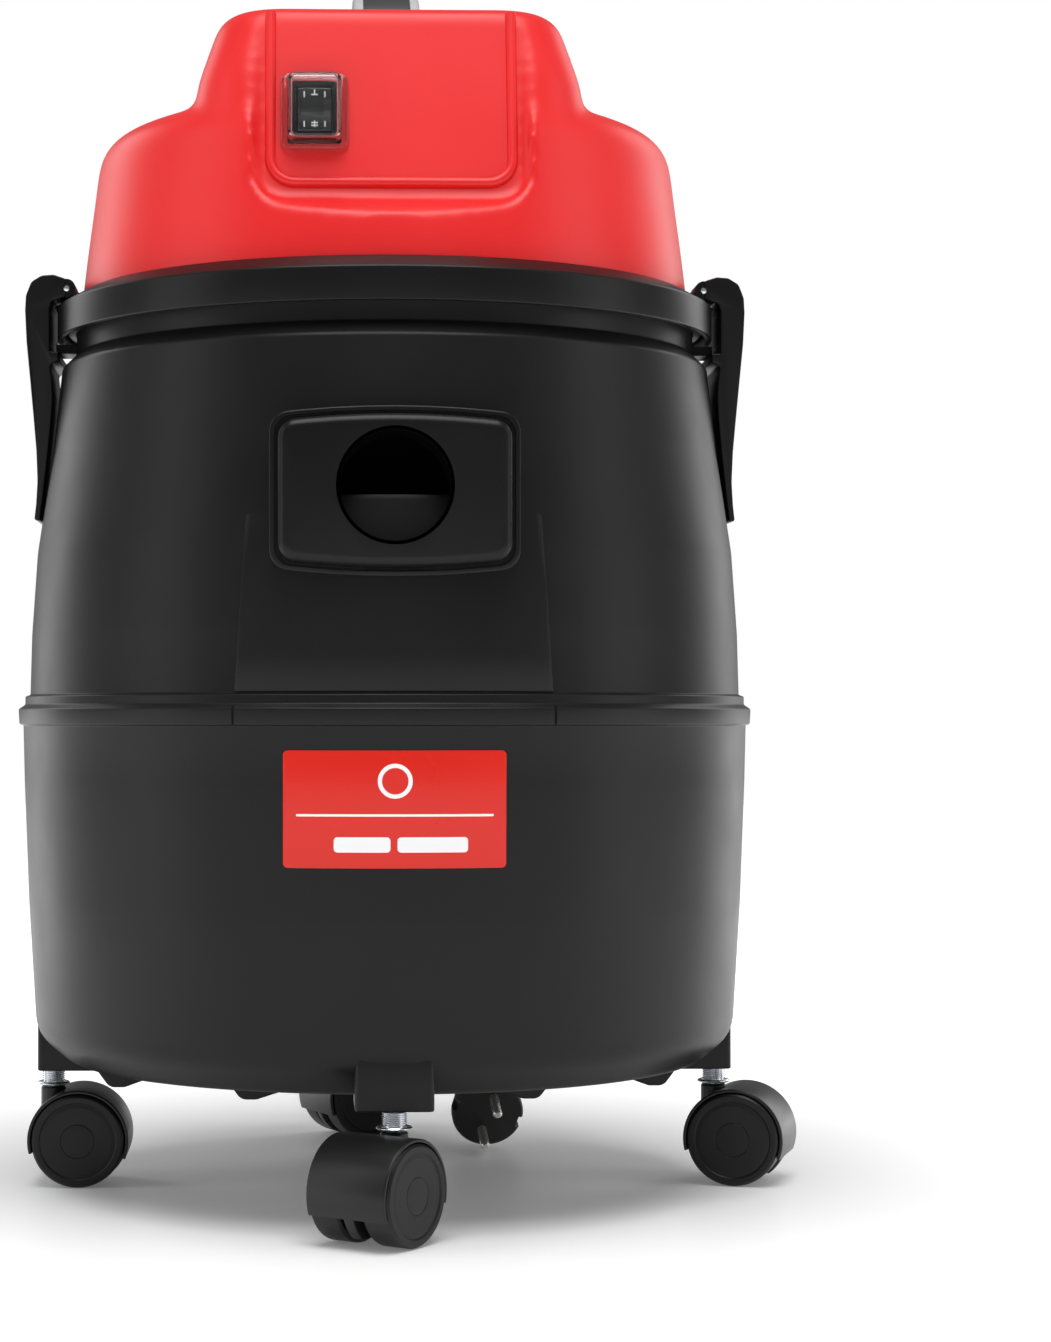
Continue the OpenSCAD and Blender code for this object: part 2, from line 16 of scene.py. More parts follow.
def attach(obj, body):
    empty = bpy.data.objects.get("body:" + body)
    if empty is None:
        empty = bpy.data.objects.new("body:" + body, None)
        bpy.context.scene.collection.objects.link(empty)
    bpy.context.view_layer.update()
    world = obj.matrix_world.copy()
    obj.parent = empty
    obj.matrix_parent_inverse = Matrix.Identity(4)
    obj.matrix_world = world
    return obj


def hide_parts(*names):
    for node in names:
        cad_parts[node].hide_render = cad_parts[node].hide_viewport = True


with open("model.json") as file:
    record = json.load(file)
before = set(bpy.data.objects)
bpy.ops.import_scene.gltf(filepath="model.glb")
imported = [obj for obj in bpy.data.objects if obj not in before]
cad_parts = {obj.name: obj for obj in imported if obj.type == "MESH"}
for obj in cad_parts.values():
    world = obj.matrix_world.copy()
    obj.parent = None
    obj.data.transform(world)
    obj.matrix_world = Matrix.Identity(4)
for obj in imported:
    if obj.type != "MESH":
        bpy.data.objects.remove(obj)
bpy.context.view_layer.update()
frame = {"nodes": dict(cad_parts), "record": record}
MM = 0.001

# %% [markdown]
# ## The camera
# The lens looks level, from a little above the ring round the tank's middle, so that ring draws a straight
# line while the rim above it bows up and the foot below it bows down. A small shift puts the vacuum left of
# the middle of the picture, without turning the lens.

# %% The camera
LENS_HEIGHT = 223.3 * MM
LENS_AWAY = 1400 * MM
LENS_TURN = math.radians(1.5)
FOCAL_SHARE = 2905 / 1342    # focal length as a share of the picture's height
SENSOR = 36
SHIFT_RIGHT, SHIFT_UP = 0.105, 0.034

camera_data = bpy.data.cameras.new("camera")
camera = bpy.data.objects.new("camera", camera_data)
bpy.context.scene.collection.objects.link(camera)
camera_data.sensor_fit = "VERTICAL"
camera_data.sensor_height = SENSOR
camera_data.lens = FOCAL_SHARE * SENSOR
camera_data.shift_x = SHIFT_RIGHT
camera_data.shift_y = SHIFT_UP
camera.location = (-LENS_AWAY * math.sin(LENS_TURN), -LENS_AWAY * math.cos(LENS_TURN), LENS_HEIGHT)
camera.rotation_euler = (math.radians(90), 0, -LENS_TURN)
bpy.context.scene.camera = camera
bpy.context.scene.view_settings.view_transform = "Standard"

# %% [markdown]
# ## Tools for modelling
# A few helpers do what the hands do in the viewport: pick nothing, add a primitive, run an operator, and apply
# a modifier. Every piece ends as a mesh whose object sits at the origin.

# %% Helpers: selection and modifiers
def nothing_selected():
    if bpy.context.object and bpy.context.object.mode != "OBJECT":
        bpy.ops.object.mode_set(mode="OBJECT")
    bpy.ops.object.select_all(action="DESELECT")


def only(piece):
    nothing_selected()
    piece.select_set(True)
    bpy.context.view_layer.objects.active = piece


def named(name):
    piece = bpy.context.object
    piece.name = name
    piece.data.name = name
    return piece


def settle(piece):
    """Puts the object's place into its mesh."""
    only(piece)
    bpy.ops.object.transform_apply(location=True, rotation=True, scale=True)
    return piece


def modified(piece, kind, **settings):
    """Adds one modifier and applies it."""
    only(piece)
    modifier = piece.modifiers.new(kind.lower(), kind)
    for key, value in settings.items():
        setattr(modifier, key, value)
    bpy.ops.object.modifier_apply(modifier=modifier.name)
    return piece


def cut(piece, cutter, operation="DIFFERENCE"):
    """Cuts one mesh with another, and throws the cutter away."""
    modified(piece, "BOOLEAN", object=cutter, operation=operation, solver="EXACT")
    bpy.data.objects.remove(cutter)
    return piece


def outward(piece):
    only(piece)
    bpy.ops.object.mode_set(mode="EDIT")
    bpy.ops.mesh.select_all(action="SELECT")
    bpy.ops.mesh.remove_doubles(threshold=1e-6)
    bpy.ops.mesh.normals_make_consistent(inside=False)
    bpy.ops.object.mode_set(mode="OBJECT")
    return piece


def smooth(piece, degrees=35):
    only(piece)
    bpy.ops.object.shade_smooth_by_angle(angle=math.radians(degrees))
    return piece


def joined(name, parts):
    nothing_selected()
    for part in parts:
        part.select_set(True)
    bpy.context.view_layer.objects.active = parts[0]
    bpy.ops.object.join()
    return named(name)


# %% Helpers: outlines, turned shapes and plates
def shift(x, y, z):
    """A move in millimetres."""
    return Matrix.Translation((x * MM, y * MM, z * MM))


def rotation(degrees, axis):
    """A turn about one of the axes."""
    return Matrix.Rotation(math.radians(degrees), 4, axis)


def rounded_corners(corners, steps=4):
    """Points along an outline of (x, y, radius) corners, each corner an arc."""
    points = []
    last = len(corners) - 1
    for i, (x, y, radius) in enumerate(corners):
        here = Vector((x, y))
        if radius == 0 or i in (0, last):
            points.append(here)
            continue
        back = (Vector(corners[i - 1][:2]) - here).normalized()
        ahead = (Vector(corners[i + 1][:2]) - here).normalized()
        half = back.angle(ahead) / 2
        reach = radius / math.tan(half)
        middle = here + (back + ahead).normalized() * radius / math.sin(half)
        start, end = here + back * reach - middle, here + ahead * reach - middle
        turn = start.angle_signed(end)
        for k in range(steps + 1):
            points.append(middle + Matrix.Rotation(-turn * k / steps, 2) @ start)
    return points


def line_of_points(name, points):
    """Draws a line by extruding one point again and again."""
    nothing_selected()
    bpy.ops.mesh.primitive_plane_add(size=1)
    bpy.ops.object.mode_set(mode="EDIT")
    bpy.ops.mesh.merge(type="CENTER")
    bpy.ops.transform.translate(value=points[0])
    for here, there in zip(points, points[1:]):
        bpy.ops.mesh.extrude_vertices_move(TRANSFORM_OT_translate={"value": Vector(there) - Vector(here)})
    bpy.ops.object.mode_set(mode="OBJECT")
    return named(name)


def turned(name, corners, steps=160, closed=True):
    """Spins an outline of (radius, height, corner radius) round Z. A closed outline makes a solid wall."""
    flat = rounded_corners(corners)
    piece = line_of_points(name, [Vector((p.x * MM, 0, p.y * MM)) for p in flat])
    bpy.ops.object.mode_set(mode="EDIT")
    bpy.ops.mesh.select_all(action="SELECT")
    if closed:
        bpy.ops.mesh.edge_face_add()
        bpy.ops.mesh.delete(type="ONLY_FACE")
        bpy.ops.mesh.select_all(action="SELECT")
    bpy.ops.mesh.spin(steps=steps, angle=math.tau, center=(0, 0, 0), axis=(0, 0, 1))
    bpy.ops.mesh.select_all(action="SELECT")
    bpy.ops.mesh.remove_doubles(threshold=1e-5)
    bpy.ops.mesh.normals_make_consistent(inside=False)
    bpy.ops.object.mode_set(mode="OBJECT")
    return piece


def block(name, low, high, bevel=0.0, segments=3, place=None):
    """A box between two corners in millimetres, with rounded edges, perhaps moved by a matrix."""
    low, high = Vector(low) * MM, Vector(high) * MM
    nothing_selected()
    bpy.ops.mesh.primitive_cube_add(size=1, location=(low + high) / 2, scale=high - low)
    piece = settle(named(name))
    if bevel:
        modified(piece, "BEVEL", width=bevel * MM, segments=segments, limit_method="NONE")
    if place:
        piece.data.transform(place)
    return piece


def plate(name, corners, thickness, place, bevel=0.0, segments=3, steps=5):
    """A plate cut to an outline of (x, y, corner radius), extruded along Z, then moved by a matrix."""
    loop = [corners[-1], *corners, corners[0]]
    flat = rounded_corners(loop, steps)[1:-1]
    piece = line_of_points(name, [Vector((p.x * MM, p.y * MM, 0)) for p in flat])
    bpy.ops.object.mode_set(mode="EDIT")
    bpy.ops.mesh.select_all(action="SELECT")
    bpy.ops.mesh.edge_face_add()
    bpy.ops.mesh.extrude_region_move(TRANSFORM_OT_translate={"value": (0, 0, thickness * MM)})
    bpy.ops.object.mode_set(mode="OBJECT")
    outward(piece)
    if bevel:
        modified(piece, "BEVEL", width=bevel * MM, segments=segments, limit_method="ANGLE",
                 angle_limit=math.radians(50))
    piece.data.transform(place)
    return piece


def rod(name, radius, start, end, sides=48, end_radius=None):
    """A round rod, or a cone, between two points in millimetres."""
    start, end = Vector(start) * MM, Vector(end) * MM
    along = end - start
    nothing_selected()
    bpy.ops.mesh.primitive_cone_add(vertices=sides, radius1=radius * MM, depth=along.length,
                                    radius2=(radius if end_radius is None else end_radius) * MM)
    piece = named(name)
    upright = along.to_track_quat("Z", "Y").to_matrix().to_4x4()
    piece.data.transform(Matrix.Translation((start + end) / 2) @ upright)
    return piece


def finished(piece, material, body, slot, *nodes):
    """Gives a piece its material, its body and the nodes that it stands for. The slot is not used."""
    piece.data.materials.clear()
    piece.data.materials.append(material)
    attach(piece, body)
    if nodes:
        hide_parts(*nodes)
    print(piece.name, len(piece.data.polygons), "faces")
    return piece


# %% [markdown]
# ## Plastic
# Moulded plastic is one colour with a fine grain. The grain is a noise bump a fraction of a millimetre
# across. A second, wide noise shifts the gloss slightly from place to place, as handling does.

# %% Materials
def material(name, colour, roughness, grain=0.0, grain_size=0.6, uneven=0.08, tint=0.12, metallic=0.0,
             coat=0.0, specular=0.5):
    made = bpy.data.materials.new(name)
    made.use_nodes = True
    nodes, links = made.node_tree.nodes, made.node_tree.links
    shader = nodes["Principled BSDF"]
    shader.inputs["Metallic"].default_value = metallic
    shader.inputs["Specular IOR Level"].default_value = specular
    shader.inputs["Coat Weight"].default_value = coat
    place = nodes.new("ShaderNodeTexCoord")
    wide = nodes.new("ShaderNodeTexNoise")
    wide.inputs["Scale"].default_value = 22
    wide.inputs["Detail"].default_value = 4
    links.new(place.outputs["Object"], wide.inputs["Vector"])
    gloss = nodes.new("ShaderNodeMapRange")
    gloss.inputs["To Min"].default_value = max(roughness - uneven, 0.03)
    gloss.inputs["To Max"].default_value = roughness + uneven
    links.new(wide.outputs["Fac"], gloss.inputs["Value"])
    links.new(gloss.outputs["Result"], shader.inputs["Roughness"])
    shade = nodes.new("ShaderNodeMix")
    shade.data_type = "RGBA"
    shade.inputs["A"].default_value = (*[c * (1 - tint) for c in colour], 1)
    shade.inputs["B"].default_value = (*[min(c * (1 + tint), 1) for c in colour], 1)
    links.new(wide.outputs["Fac"], shade.inputs["Factor"])
    links.new(shade.outputs["Result"], shader.inputs["Base Color"])
    if grain:
        fine = nodes.new("ShaderNodeTexNoise")
        fine.inputs["Scale"].default_value = 1 / (grain_size * MM)
        fine.inputs["Detail"].default_value = 2
        links.new(place.outputs["Object"], fine.inputs["Vector"])
        bump = nodes.new("ShaderNodeBump")
        bump.inputs["Strength"].default_value = grain
        bump.inputs["Distance"].default_value = 0.1 * MM
        links.new(fine.outputs["Fac"], bump.inputs["Height"])
        links.new(bump.outputs["Normal"], shader.inputs["Normal"])
    return made


TANK_BLACK = material("tank_black", (0.0055, 0.0055, 0.0058), 0.38, grain=0.35, grain_size=0.7, specular=0.22)
TRIM_BLACK = material("trim_black", (0.005, 0.005, 0.0052), 0.34, grain=0.25, grain_size=0.5, specular=0.2)
# Painted shade: a near-black, dull, almost unreflecting colour for the deflector seen through the inlet's
# bore, in place of its own black plastic, so that the bore reads dark.
BORE_SHADE_BLACK = material("painted_bore_shade", (0.003, 0.003, 0.003), 0.8, specular=0.05)
COVER_RED = material("cover_red", (0.68, 0.012, 0.013), 0.40, grain=0.30, grain_size=0.7, tint=0.05,
                     specular=0.38)
GRIP_BLACK = material("handle_black", (0.022, 0.022, 0.023), 0.45, grain=0.5, grain_size=0.9)
EDGE_GREY = material("handle_edge", (0.42, 0.42, 0.43), 0.35, grain=0.2, grain_size=0.6)
SWITCH_BLACK = material("switch_black", (0.015, 0.015, 0.015), 0.25, grain=0.1, grain_size=0.4)
MARK_WHITE = material("mark_white", (0.85, 0.85, 0.85), 0.5, tint=0.02)
ZINC = material("zinc", (0.78, 0.80, 0.83), 0.22, grain=0.1, grain_size=1.0, metallic=1.0)
CASTER_BLACK = material("caster_black", (0.009, 0.009, 0.0095), 0.34, grain=0.3, grain_size=0.5,
                        specular=0.35)
WHEEL_BLACK = material("wheel_black", (0.007, 0.007, 0.0073), 0.42, grain=0.3, grain_size=0.5, specular=0.3)
CORD_BLACK = material("cord_black", (0.012, 0.012, 0.012), 0.5, grain=0.3, grain_size=0.8)
PIN_NICKEL = material("pin_nickel", (0.88, 0.87, 0.84), 0.2, metallic=0.7)
SEAL_RUBBER = material("seal_rubber", (0.03, 0.03, 0.03), 0.7, grain=0.3)
MOTOR_STEEL = material("motor_steel", (0.45, 0.45, 0.47), 0.4, grain=0.2, metallic=1.0)
FAN_ALUMINIUM = material("fan_aluminium", (0.7, 0.71, 0.73), 0.3, grain=0.15, metallic=1.0)
CARBON = material("carbon", (0.02, 0.02, 0.02), 0.6, grain=0.3)
FOAM = material("foam", (0.05, 0.05, 0.055), 0.9, grain=1.0, grain_size=1.5)
FILTER_CLOTH = material("filter_cloth", (0.75, 0.74, 0.70), 0.9, grain=0.8, grain_size=0.8)
FLOAT_PLASTIC = material("float_plastic", (0.85, 0.35, 0.05), 0.45, grain=0.2)
LABEL_RED = material("label_red", (0.66, 0.018, 0.010), 0.3, tint=0.03, specular=0.3)
CLEAR = material("clear_boot", (0.95, 0.97, 0.98), 0.08, tint=0.0, uneven=0.03)
CLEAR.node_tree.nodes["Principled BSDF"].inputs["Transmission Weight"].default_value = 1.0
CLEAR.node_tree.nodes["Principled BSDF"].inputs["IOR"].default_value = 1.45
BY_SLOT = {"tank_black": TANK_BLACK, "trim_black": TRIM_BLACK, "seal_rubber": SEAL_RUBBER,
           "cover_red": COVER_RED, "zinc": ZINC, "handle_grey": EDGE_GREY, "switch_black": SWITCH_BLACK,
           "clear_boot": CLEAR, "motor_steel": MOTOR_STEEL, "fan_aluminium": FAN_ALUMINIUM,
           "carbon": CARBON, "foam": FOAM, "filter_cloth": FILTER_CLOTH, "float_plastic": FLOAT_PLASTIC,
           "label_red": LABEL_RED, "cord_black": CORD_BLACK, "pin_nickel": PIN_NICKEL,
           "caster_black": CASTER_BLACK, "wheel_black": WHEEL_BLACK}
slot_of = {s["node"]: s["material_slot"] for s in frame["record"]["subparts"]}
# The deflector behind the inlet's bore takes the painted shade black, not the plastic of its slot.
for name, node in frame["nodes"].items():
    node.data.materials.clear()
    node.data.materials.append(BORE_SHADE_BLACK if name == "inlet_deflector" else BY_SLOT[slot_of[name]])

# %% [markdown]
# ## The mains lead
# The lead is five metres of 7 mm cable. It leaves a tapered grip at the back of the head, hangs down behind
# the tank, and lies on the floor in a neat coil of fourteen and a half turns. Its plug lies under the tank's
# rear edge. The line is worked out in code, because a cable keeps its length however it is laid.

# %% The lead's line
CORD = 7.0
COIL_AT = Vector((15, 395, 0))


def flowing(points, steps=8):
    """A smooth line through points (Catmull-Rom)."""
    line = [Vector(p) for p in points]
    ends = [line[0] * 2 - line[1], *line, line[-1] * 2 - line[-2]]
    out = []
    for a, b, c, d in zip(ends, ends[1:], ends[2:], ends[3:]):
        for k in range(steps):
            t = k / steps
            out.append(0.5 * ((2 * b) + (c - a) * t + (2 * a - 5 * b + 4 * c - d) * t * t
                              + (3 * b - a - 3 * c + d) * t ** 3))
    return [*out, line[-1]]


def ease(t):
    t = min(max(t, 0.0), 1.0)
    return t * t * (3 - 2 * t)


# A turn moves in or out, or up a layer, only inside these spans of its angle in degrees, and no two meet.
MOVE_SPAN = 60


def spans(*starts):
    return [(start, start + MOVE_SPAN) for start in starts]


MOVES_IN = spans(300, 660, 1020, 2940, 3300, 3660)
MOVES_OUT = spans(1620, 1980, 2340, 4260, 4620, 4980)
RISES = spans(1320, 2640, 3960)
COIL_END = 5220
COIL_OUTER = 55.5


def coil_point(angle):
    def done(moves):
        return sum(ease((angle - a) / (b - a)) for a, b in moves)
    radius = COIL_OUTER - CORD * (done(MOVES_IN) - done(MOVES_OUT))
    turn = math.pi - math.radians(angle)
    return COIL_AT + Vector((radius * math.cos(turn), radius * math.sin(turn), 3.5 + CORD * done(RISES)))


coil = [coil_point(a) for a in range(0, COIL_END + 1, 6)]
lead = [(-10, 170, 436), (-10, 178, 435.8), (-10, 189, 433), (-10, 200, 426), (-10, 206.5, 413),
        (-10, 208, 396), (-10, 208, 350), (-10, 208, 290), (-10, 208, 230), (-10, 208, 170),
        (-10, 208, 110), (-10, 208, 64), (-10, 209, 42), (-11, 214, 24), (-13, 225, 11), (-17, 242, 4.6),
        (-22, 262, 3.5), (-28, 290, 3.5), (-34, 320, 3.5), (-38.5, 352, 3.5), (-40.4, 376, 3.5)]
tail = [(70.4, 378, 24.3), (69.5, 364, 21), (68, 348, 12), (66.5, 334, 5.5), (65, 318, 3.5), (62.5, 298, 3.5),
        (60.5, 280, 3.6), (59, 264, 5.5), (58, 247, 12), (57, 230, 21), (56, 213, 30), (55.2, 198, 35.6),
        (54.6, 184, 37.8), (54, 168, 37.5)]
line = flowing([*lead, *coil[1:4]], 6)[:-18] + coil[1:-2] + flowing([*coil[-4:-1], *tail], 6)[12:]

# %% The lead
curve = bpy.data.curves.new("mains_lead", "CURVE")
curve.dimensions = "3D"
spline = curve.splines.new("POLY")
spline.points.add(len(line) - 1)
for point, place in zip(spline.points, line):
    point.co = (*(place * MM), 1)
curve.bevel_depth = CORD / 2 * MM
curve.bevel_resolution = 3
curve.use_fill_caps = True
lead_piece = bpy.data.objects.new("mains_lead", curve)
bpy.context.scene.collection.objects.link(lead_piece)
curve.materials.append(CORD_BLACK)
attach(lead_piece, "vacuum")
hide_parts("cord_lead", "cord_coil", "cord_tail")

# %% The grip, the tie and the plug
grip_outline = [(3.6, 0, 0), (10, 0, 0.6), (10, 3, 0.6), (8, 3.4, 0.4), (8, 8, 0.4), (9.5, 8.3, 0.4),
                (9.5, 10.2, 0.4), (8, 10.5, 0.4)]
for k in range(5):
    radius = 8 - 0.5 * k
    grip_outline += [(radius - 0.4, 12.5 + 5.6 * k, 0.4), (radius - 0.5, 16 + 5.6 * k, 0.3),
                     (radius - 1.3, 16.2 + 5.6 * k, 0.2), (radius - 1.3, 17.6 + 5.6 * k, 0.2)]
grip_outline += [(5.5, 41, 0.5), (5.2, 42, 0.4), (3.6, 42, 0)]
grip = turned("lead_grip", [*grip_outline, grip_outline[0]], steps=64, closed=False)
grip.data.transform(shift(-10, 134, 436) @ rotation(-90, "X"))
finished(smooth(outward(grip), 40), TRIM_BLACK, "vacuum", "trim_black", "cord_grip")

# A flat strap round the coil's bundle, on the side away from the tank
strap_at = COIL_AT + Vector((0, COIL_OUTER - 10.5, 14))
tie = plate("cord_tie", [(-14.7, -13.8, 4), (14.7, -13.8, 4), (14.7, 14.9, 4), (-14.7, 14.9, 4)], 9, Matrix())
strap_inside = plate("inside",
                     [(-14.0, -13.3, 3.5), (14.0, -13.3, 3.5), (14.0, 14.2, 3.5), (-14.0, 14.2, 3.5)], 20,
                     shift(0, 0, -5))
cut(tie, strap_inside)
tie.name = tie.data.name = "cord_tie"
tie.data.transform(Matrix.Translation(strap_at * MM) @ Matrix(((0, 0, 1, -4.5 * MM), (1, 0, 0, 0),
                                                               (0, 1, 0, 0), (0, 0, 0, 1))))
finished(smooth(tie, 40), SEAL_RUBBER, "vacuum", "cord_black")

PLUG = shift(56, 100, 18) @ rotation(3, "Z") @ rotation(20, "X") @ rotation(17, "Y")
plug_outline = [(0, 0, 0), (17.6, 0, 0.8), (18.5, 1.4, 0.8), (18.5, 6, 2), (16.6, 14, 6), (15, 20, 5),
                (11, 30, 6), (8, 37.5, 2), (7, 38.5, 0.8)]
for k in range(4):
    radius = 6.9 - 0.42 * k
    plug_outline += [(radius, 39.5 + 5.2 * k, 0.3), (radius - 0.2, 42.6 + 5.2 * k, 0.3),
                     (radius - 1.1, 42.9 + 5.2 * k, 0.2), (radius - 1.1, 44.2 + 5.2 * k, 0.2)]
plug_outline += [(5.2, 60.4, 0.3), (5, 64, 0.4), (3.5, 64, 0), (3.5, 54, 0), (0, 54, 0)]
plug = turned("plug", plug_outline, steps=80, closed=False)
plug.data.transform(PLUG @ rotation(-90, "X"))
slots = [block("slot", (s * 18.5 - 2.5, -1, -3), (s * 18.5 + 2.5, 17, 3), 0.5, 2, PLUG) for s in (-1, 1)]
cut(plug, joined("slots", slots))
finished(smooth(plug, 40), CORD_BLACK, "vacuum", "cord_black", "plug_body")
pins = []
for side in (-1, 1):
    pin = turned("pin", [(0, 0, 0), (2.4, 0, 0), (2.4, 17.6, 0.6), (1.4, 19, 0.5), (0, 19, 0)], steps=40,
                 closed=False)
    pin.data.transform(PLUG @ shift(0, 0, side * 9.5) @ rotation(90, "X"))
    pins.append(pin)
pins = joined("pins", pins)
finished(smooth(outward(pins), 40), PIN_NICKEL, "vacuum", "pin_nickel", "plug_pins")

# %% [markdown]
# ## The tank
# The tank is blown from one tube of plastic, so every edge is round. Its outline is drawn once, from the
# middle of the underside up to the rim and back down the inside, and spun round the axis.

# %% The tank
outside = [(0, 60, 0), (150, 60, 14), (166.4, 74, 18), (170, 136, 60), (172.1, 193, 60), (172.7, 219.5, 0.8),
           (174.6, 219.5, 0.9), (175, 226.8, 1.2), (171.8, 229.0, 1.2), (171.8, 232.8, 0.9),
           (169.4, 233.6, 0.7), (168.6, 262, 60), (165.9, 301, 60), (158.8, 347.6, 60), (154.3, 388, 3.5),
           (147.5, 394.5, 1.5), (147.5, 405, 1), (151.5, 405.5, 0.6), (151.5, 409, 0.6)]
inside = [(144.5, 409, 0.6), (144.5, 393, 2), (150.5, 387, 3), (155.8, 347.6, 0), (162.9, 301, 0),
          (166.4, 240, 0), (167, 136, 0), (162.5, 78, 12), (146, 64, 12), (0, 64, 0)]
tank = turned("tank_shell", outside + inside, steps=192, closed=False)
hole = rod("hole", 25.2, (0, -130, 321), (0, -190, 321), 96)
cut(tank, hole)
for x in (-69, 69):
    cut(tank, block("split", (x - 0.5, -166, 218.8), (x + 0.5, -158.6, 229.4)))


def caster_boss(turn):
    spin = rotation(turn, "Z")
    outline = [(130, -17, 2), (165.3, -17, 2.5), (165.3, 17, 2.5), (130, 17, 2)]
    boss = plate("boss", outline, 27, spin @ shift(0, 0, 55), bevel=0.8)
    socket = rod("socket", 5.05, (159, 0, 50), (159, 0, 76))
    socket.data.transform(spin)
    return cut(boss, socket)


def foot(side, outline, half_length):
    """A moulded foot under the tank: a wedge that runs from front to back."""
    stand = shift(0, half_length, 0) @ rotation(90, "X")
    corners = [(side * x, z, r) for x, z, r in outline]
    if side < 0:
        corners.reverse()
    return plate("foot", corners, 2 * half_length, stand, bevel=1.0)


feet = [foot(s, [(75, 62, 0), (67, 51.2, 5), (60, 51.2, 5), (26, 62, 0)], 94) for s in (-1, 1)]
feet += [foot(s, [(137, 62, 0), (129, 51.2, 5), (122, 51.2, 5), (92, 62, 0)], 49) for s in (-1, 1)]
bosses = [caster_boss(a) for a in (0, 90, 180, 270)]
lugs = [block("lug", (low, -10, 396.4), (high, 10, 400.8)) for low, high in ((-157, -145), (145, 157))]
tank = joined("tank_shell", [tank, *bosses, *feet, *lugs])
finished(smooth(tank, 30), TANK_BLACK, "vacuum", "tank_black", "tank_floor", "tank", "tank_top", "tank_front")

# %% The panel on the tank's front
def front_patch(name, skin_outline, outline, bevel=0.25, steps=5):
    """A piece of a thin spun skin, cut out by an outline of (x, height) seen from the front."""
    skin = turned(name, skin_outline, steps=300)
    cutter = plate("cutter", outline, 120, shift(0, -80, 0) @ rotation(90, "X"), steps=steps)
    cut(skin, cutter, "INTERSECT")
    only(skin)
    bpy.ops.object.mode_set(mode="EDIT")
    bpy.ops.mesh.select_all(action="SELECT")
    bpy.ops.mesh.remove_doubles(threshold=2e-5)
    bpy.ops.object.mode_set(mode="OBJECT")
    if bevel:
        modified(skin, "BEVEL", width=bevel * MM, segments=2, limit_method="ANGLE",
                 angle_limit=math.radians(60))
    return skin


wall_band = [(169.2, 234.2), (168.8, 250), (167.8, 278), (165.9, 301), (162.6, 315.5), (161.9, 318)]
skin = [(r + 0.7, z, 0) for r, z in wall_band] + [(r - 1.0, z, 0) for r, z in reversed(wall_band)]
panel = front_patch("tank_panel", skin, [(-69, 225, 0), (69, 225, 0), (63, 318, 7), (-63, 318, 7)])
finished(smooth(panel, 30), TANK_BLACK, "vacuum", "tank_black")

# %% [markdown]
# ## The hose inlet
# A barrel-shaped pad is moulded on the tank's front. It has a thin lip, a groove, and a body with fat round
# edges. The hose cuff goes into the round bore, which runs through the wall into a short tube.

# %% The hose inlet
INLET = 321


def barrel(half_w, half_h, bow, corner, count=8):
    """A rectangle whose top and bottom bow outwards."""
    top = []
    for i in range(count + 1):
        x = half_w * (1 - 2 * i / count)
        top.append((x, half_h - bow * (x / half_w) ** 2, corner if i in (0, count) else 0))
    return [*top, *[(-x, -z, r) for x, z, r in top]]


def facing_front(y, z):
    """Stands a plate up so that its outline faces the front, with its back at y."""
    return shift(0, y, z) @ rotation(90, "X")


lip = plate("lip", barrel(53.4, 36.4, 3.4, 9), 30, facing_front(-140, INLET - 2), bevel=0.9, steps=8)
cut(lip, plate("groove", barrel(51.3, 34.3, 3.2, 8), 5, facing_front(-167.4, INLET - 2), steps=8))
pad = plate("pad", barrel(49.7, 32.7, 3.1, 8), 36, facing_front(-140, INLET - 2), bevel=4.4, segments=6,
            steps=8)
for piece in (lip, pad):
    cut(piece, turned("tank_inside", [(0, 240, 0), (167.5, 240, 0), (166.8, 278, 0), (164.9, 301, 0),
                                      (161.6, 315.5, 0), (157.8, 347.6, 0), (153, 388, 0), (0, 388, 0)],
                      closed=False))
tube = rod("tube", 25.8, (0, -138, INLET), (0, -172, INLET), 96)
ring = turned("rim", [(23.6, -1, 0), (25.6, -1, 0), (25.6, 0.55, 0.5), (23.6, 0.55, 0.5)], steps=128)
ring.data.transform(facing_front(-175.45, INLET))
for piece in (lip, pad, tube):
    cut(piece, rod("bore", 23.6, (0, -120, INLET), (0, -200, INLET), 128))
collar = joined("hose_inlet", [lip, pad, tube, ring])
finished(smooth(collar, 32), TRIM_BLACK, "vacuum", "trim_black", "inlet_collar")

# %% [markdown]
# ## The label
# The label is a thin red sticker on the lower front. It carries only a plain line, a ring and three bars.
# Sticker and print are cut from spun skins a fraction of a millimetre apart, so that both follow the wall.

# %% The label
def sticker_skin(low, high):
    wall = [(170.45, 150), (172.1, 193), (172.7, 214)]
    return [(r + high, z, 0) for r, z in wall] + [(r + low, z, 0) for r, z in reversed(wall)]


def box_outline(x, z, width, height, corner):
    return [(x - width / 2, z - height / 2, corner), (x + width / 2, z - height / 2, corner),
            (x + width / 2, z + height / 2, corner), (x - width / 2, z + height / 2, corner)]


label = front_patch("label_sheet", sticker_skin(-0.5, 0.42), box_outline(0, 184, 95, 50, 2.0), bevel=0.12)
finished(smooth(label, 30), LABEL_RED, "vacuum", "label_red", "front_label")
prints = [front_patch("print", sticker_skin(0.3, 0.5), outline, bevel=0, steps=3) for outline in (
    box_outline(0, 181.5, 84, 1.0, 0.4), box_outline(-14, 169, 24, 6.5, 1.5),
    box_outline(16, 169, 30, 6.5, 1.5))]
badge = rod("badge", 7.4, (0, -150, 196), (0, -190, 196), 48)
skin = turned("skin", sticker_skin(0.3, 0.5), steps=300)
prints.append(cut(skin, badge, "INTERSECT"))
print_piece = joined("label_print", prints)
finished(smooth(print_piece, 30), MARK_WHITE, "vacuum", "label_red")
ring = turned("skin", sticker_skin(0.4, 0.56), steps=300)
cut(ring, rod("badge", 5.6, (0, -150, 196), (0, -190, 196), 48), "INTERSECT")
ring.name = ring.data.name = "label_badge"
finished(smooth(ring, 30), LABEL_RED, "vacuum", "label_red")

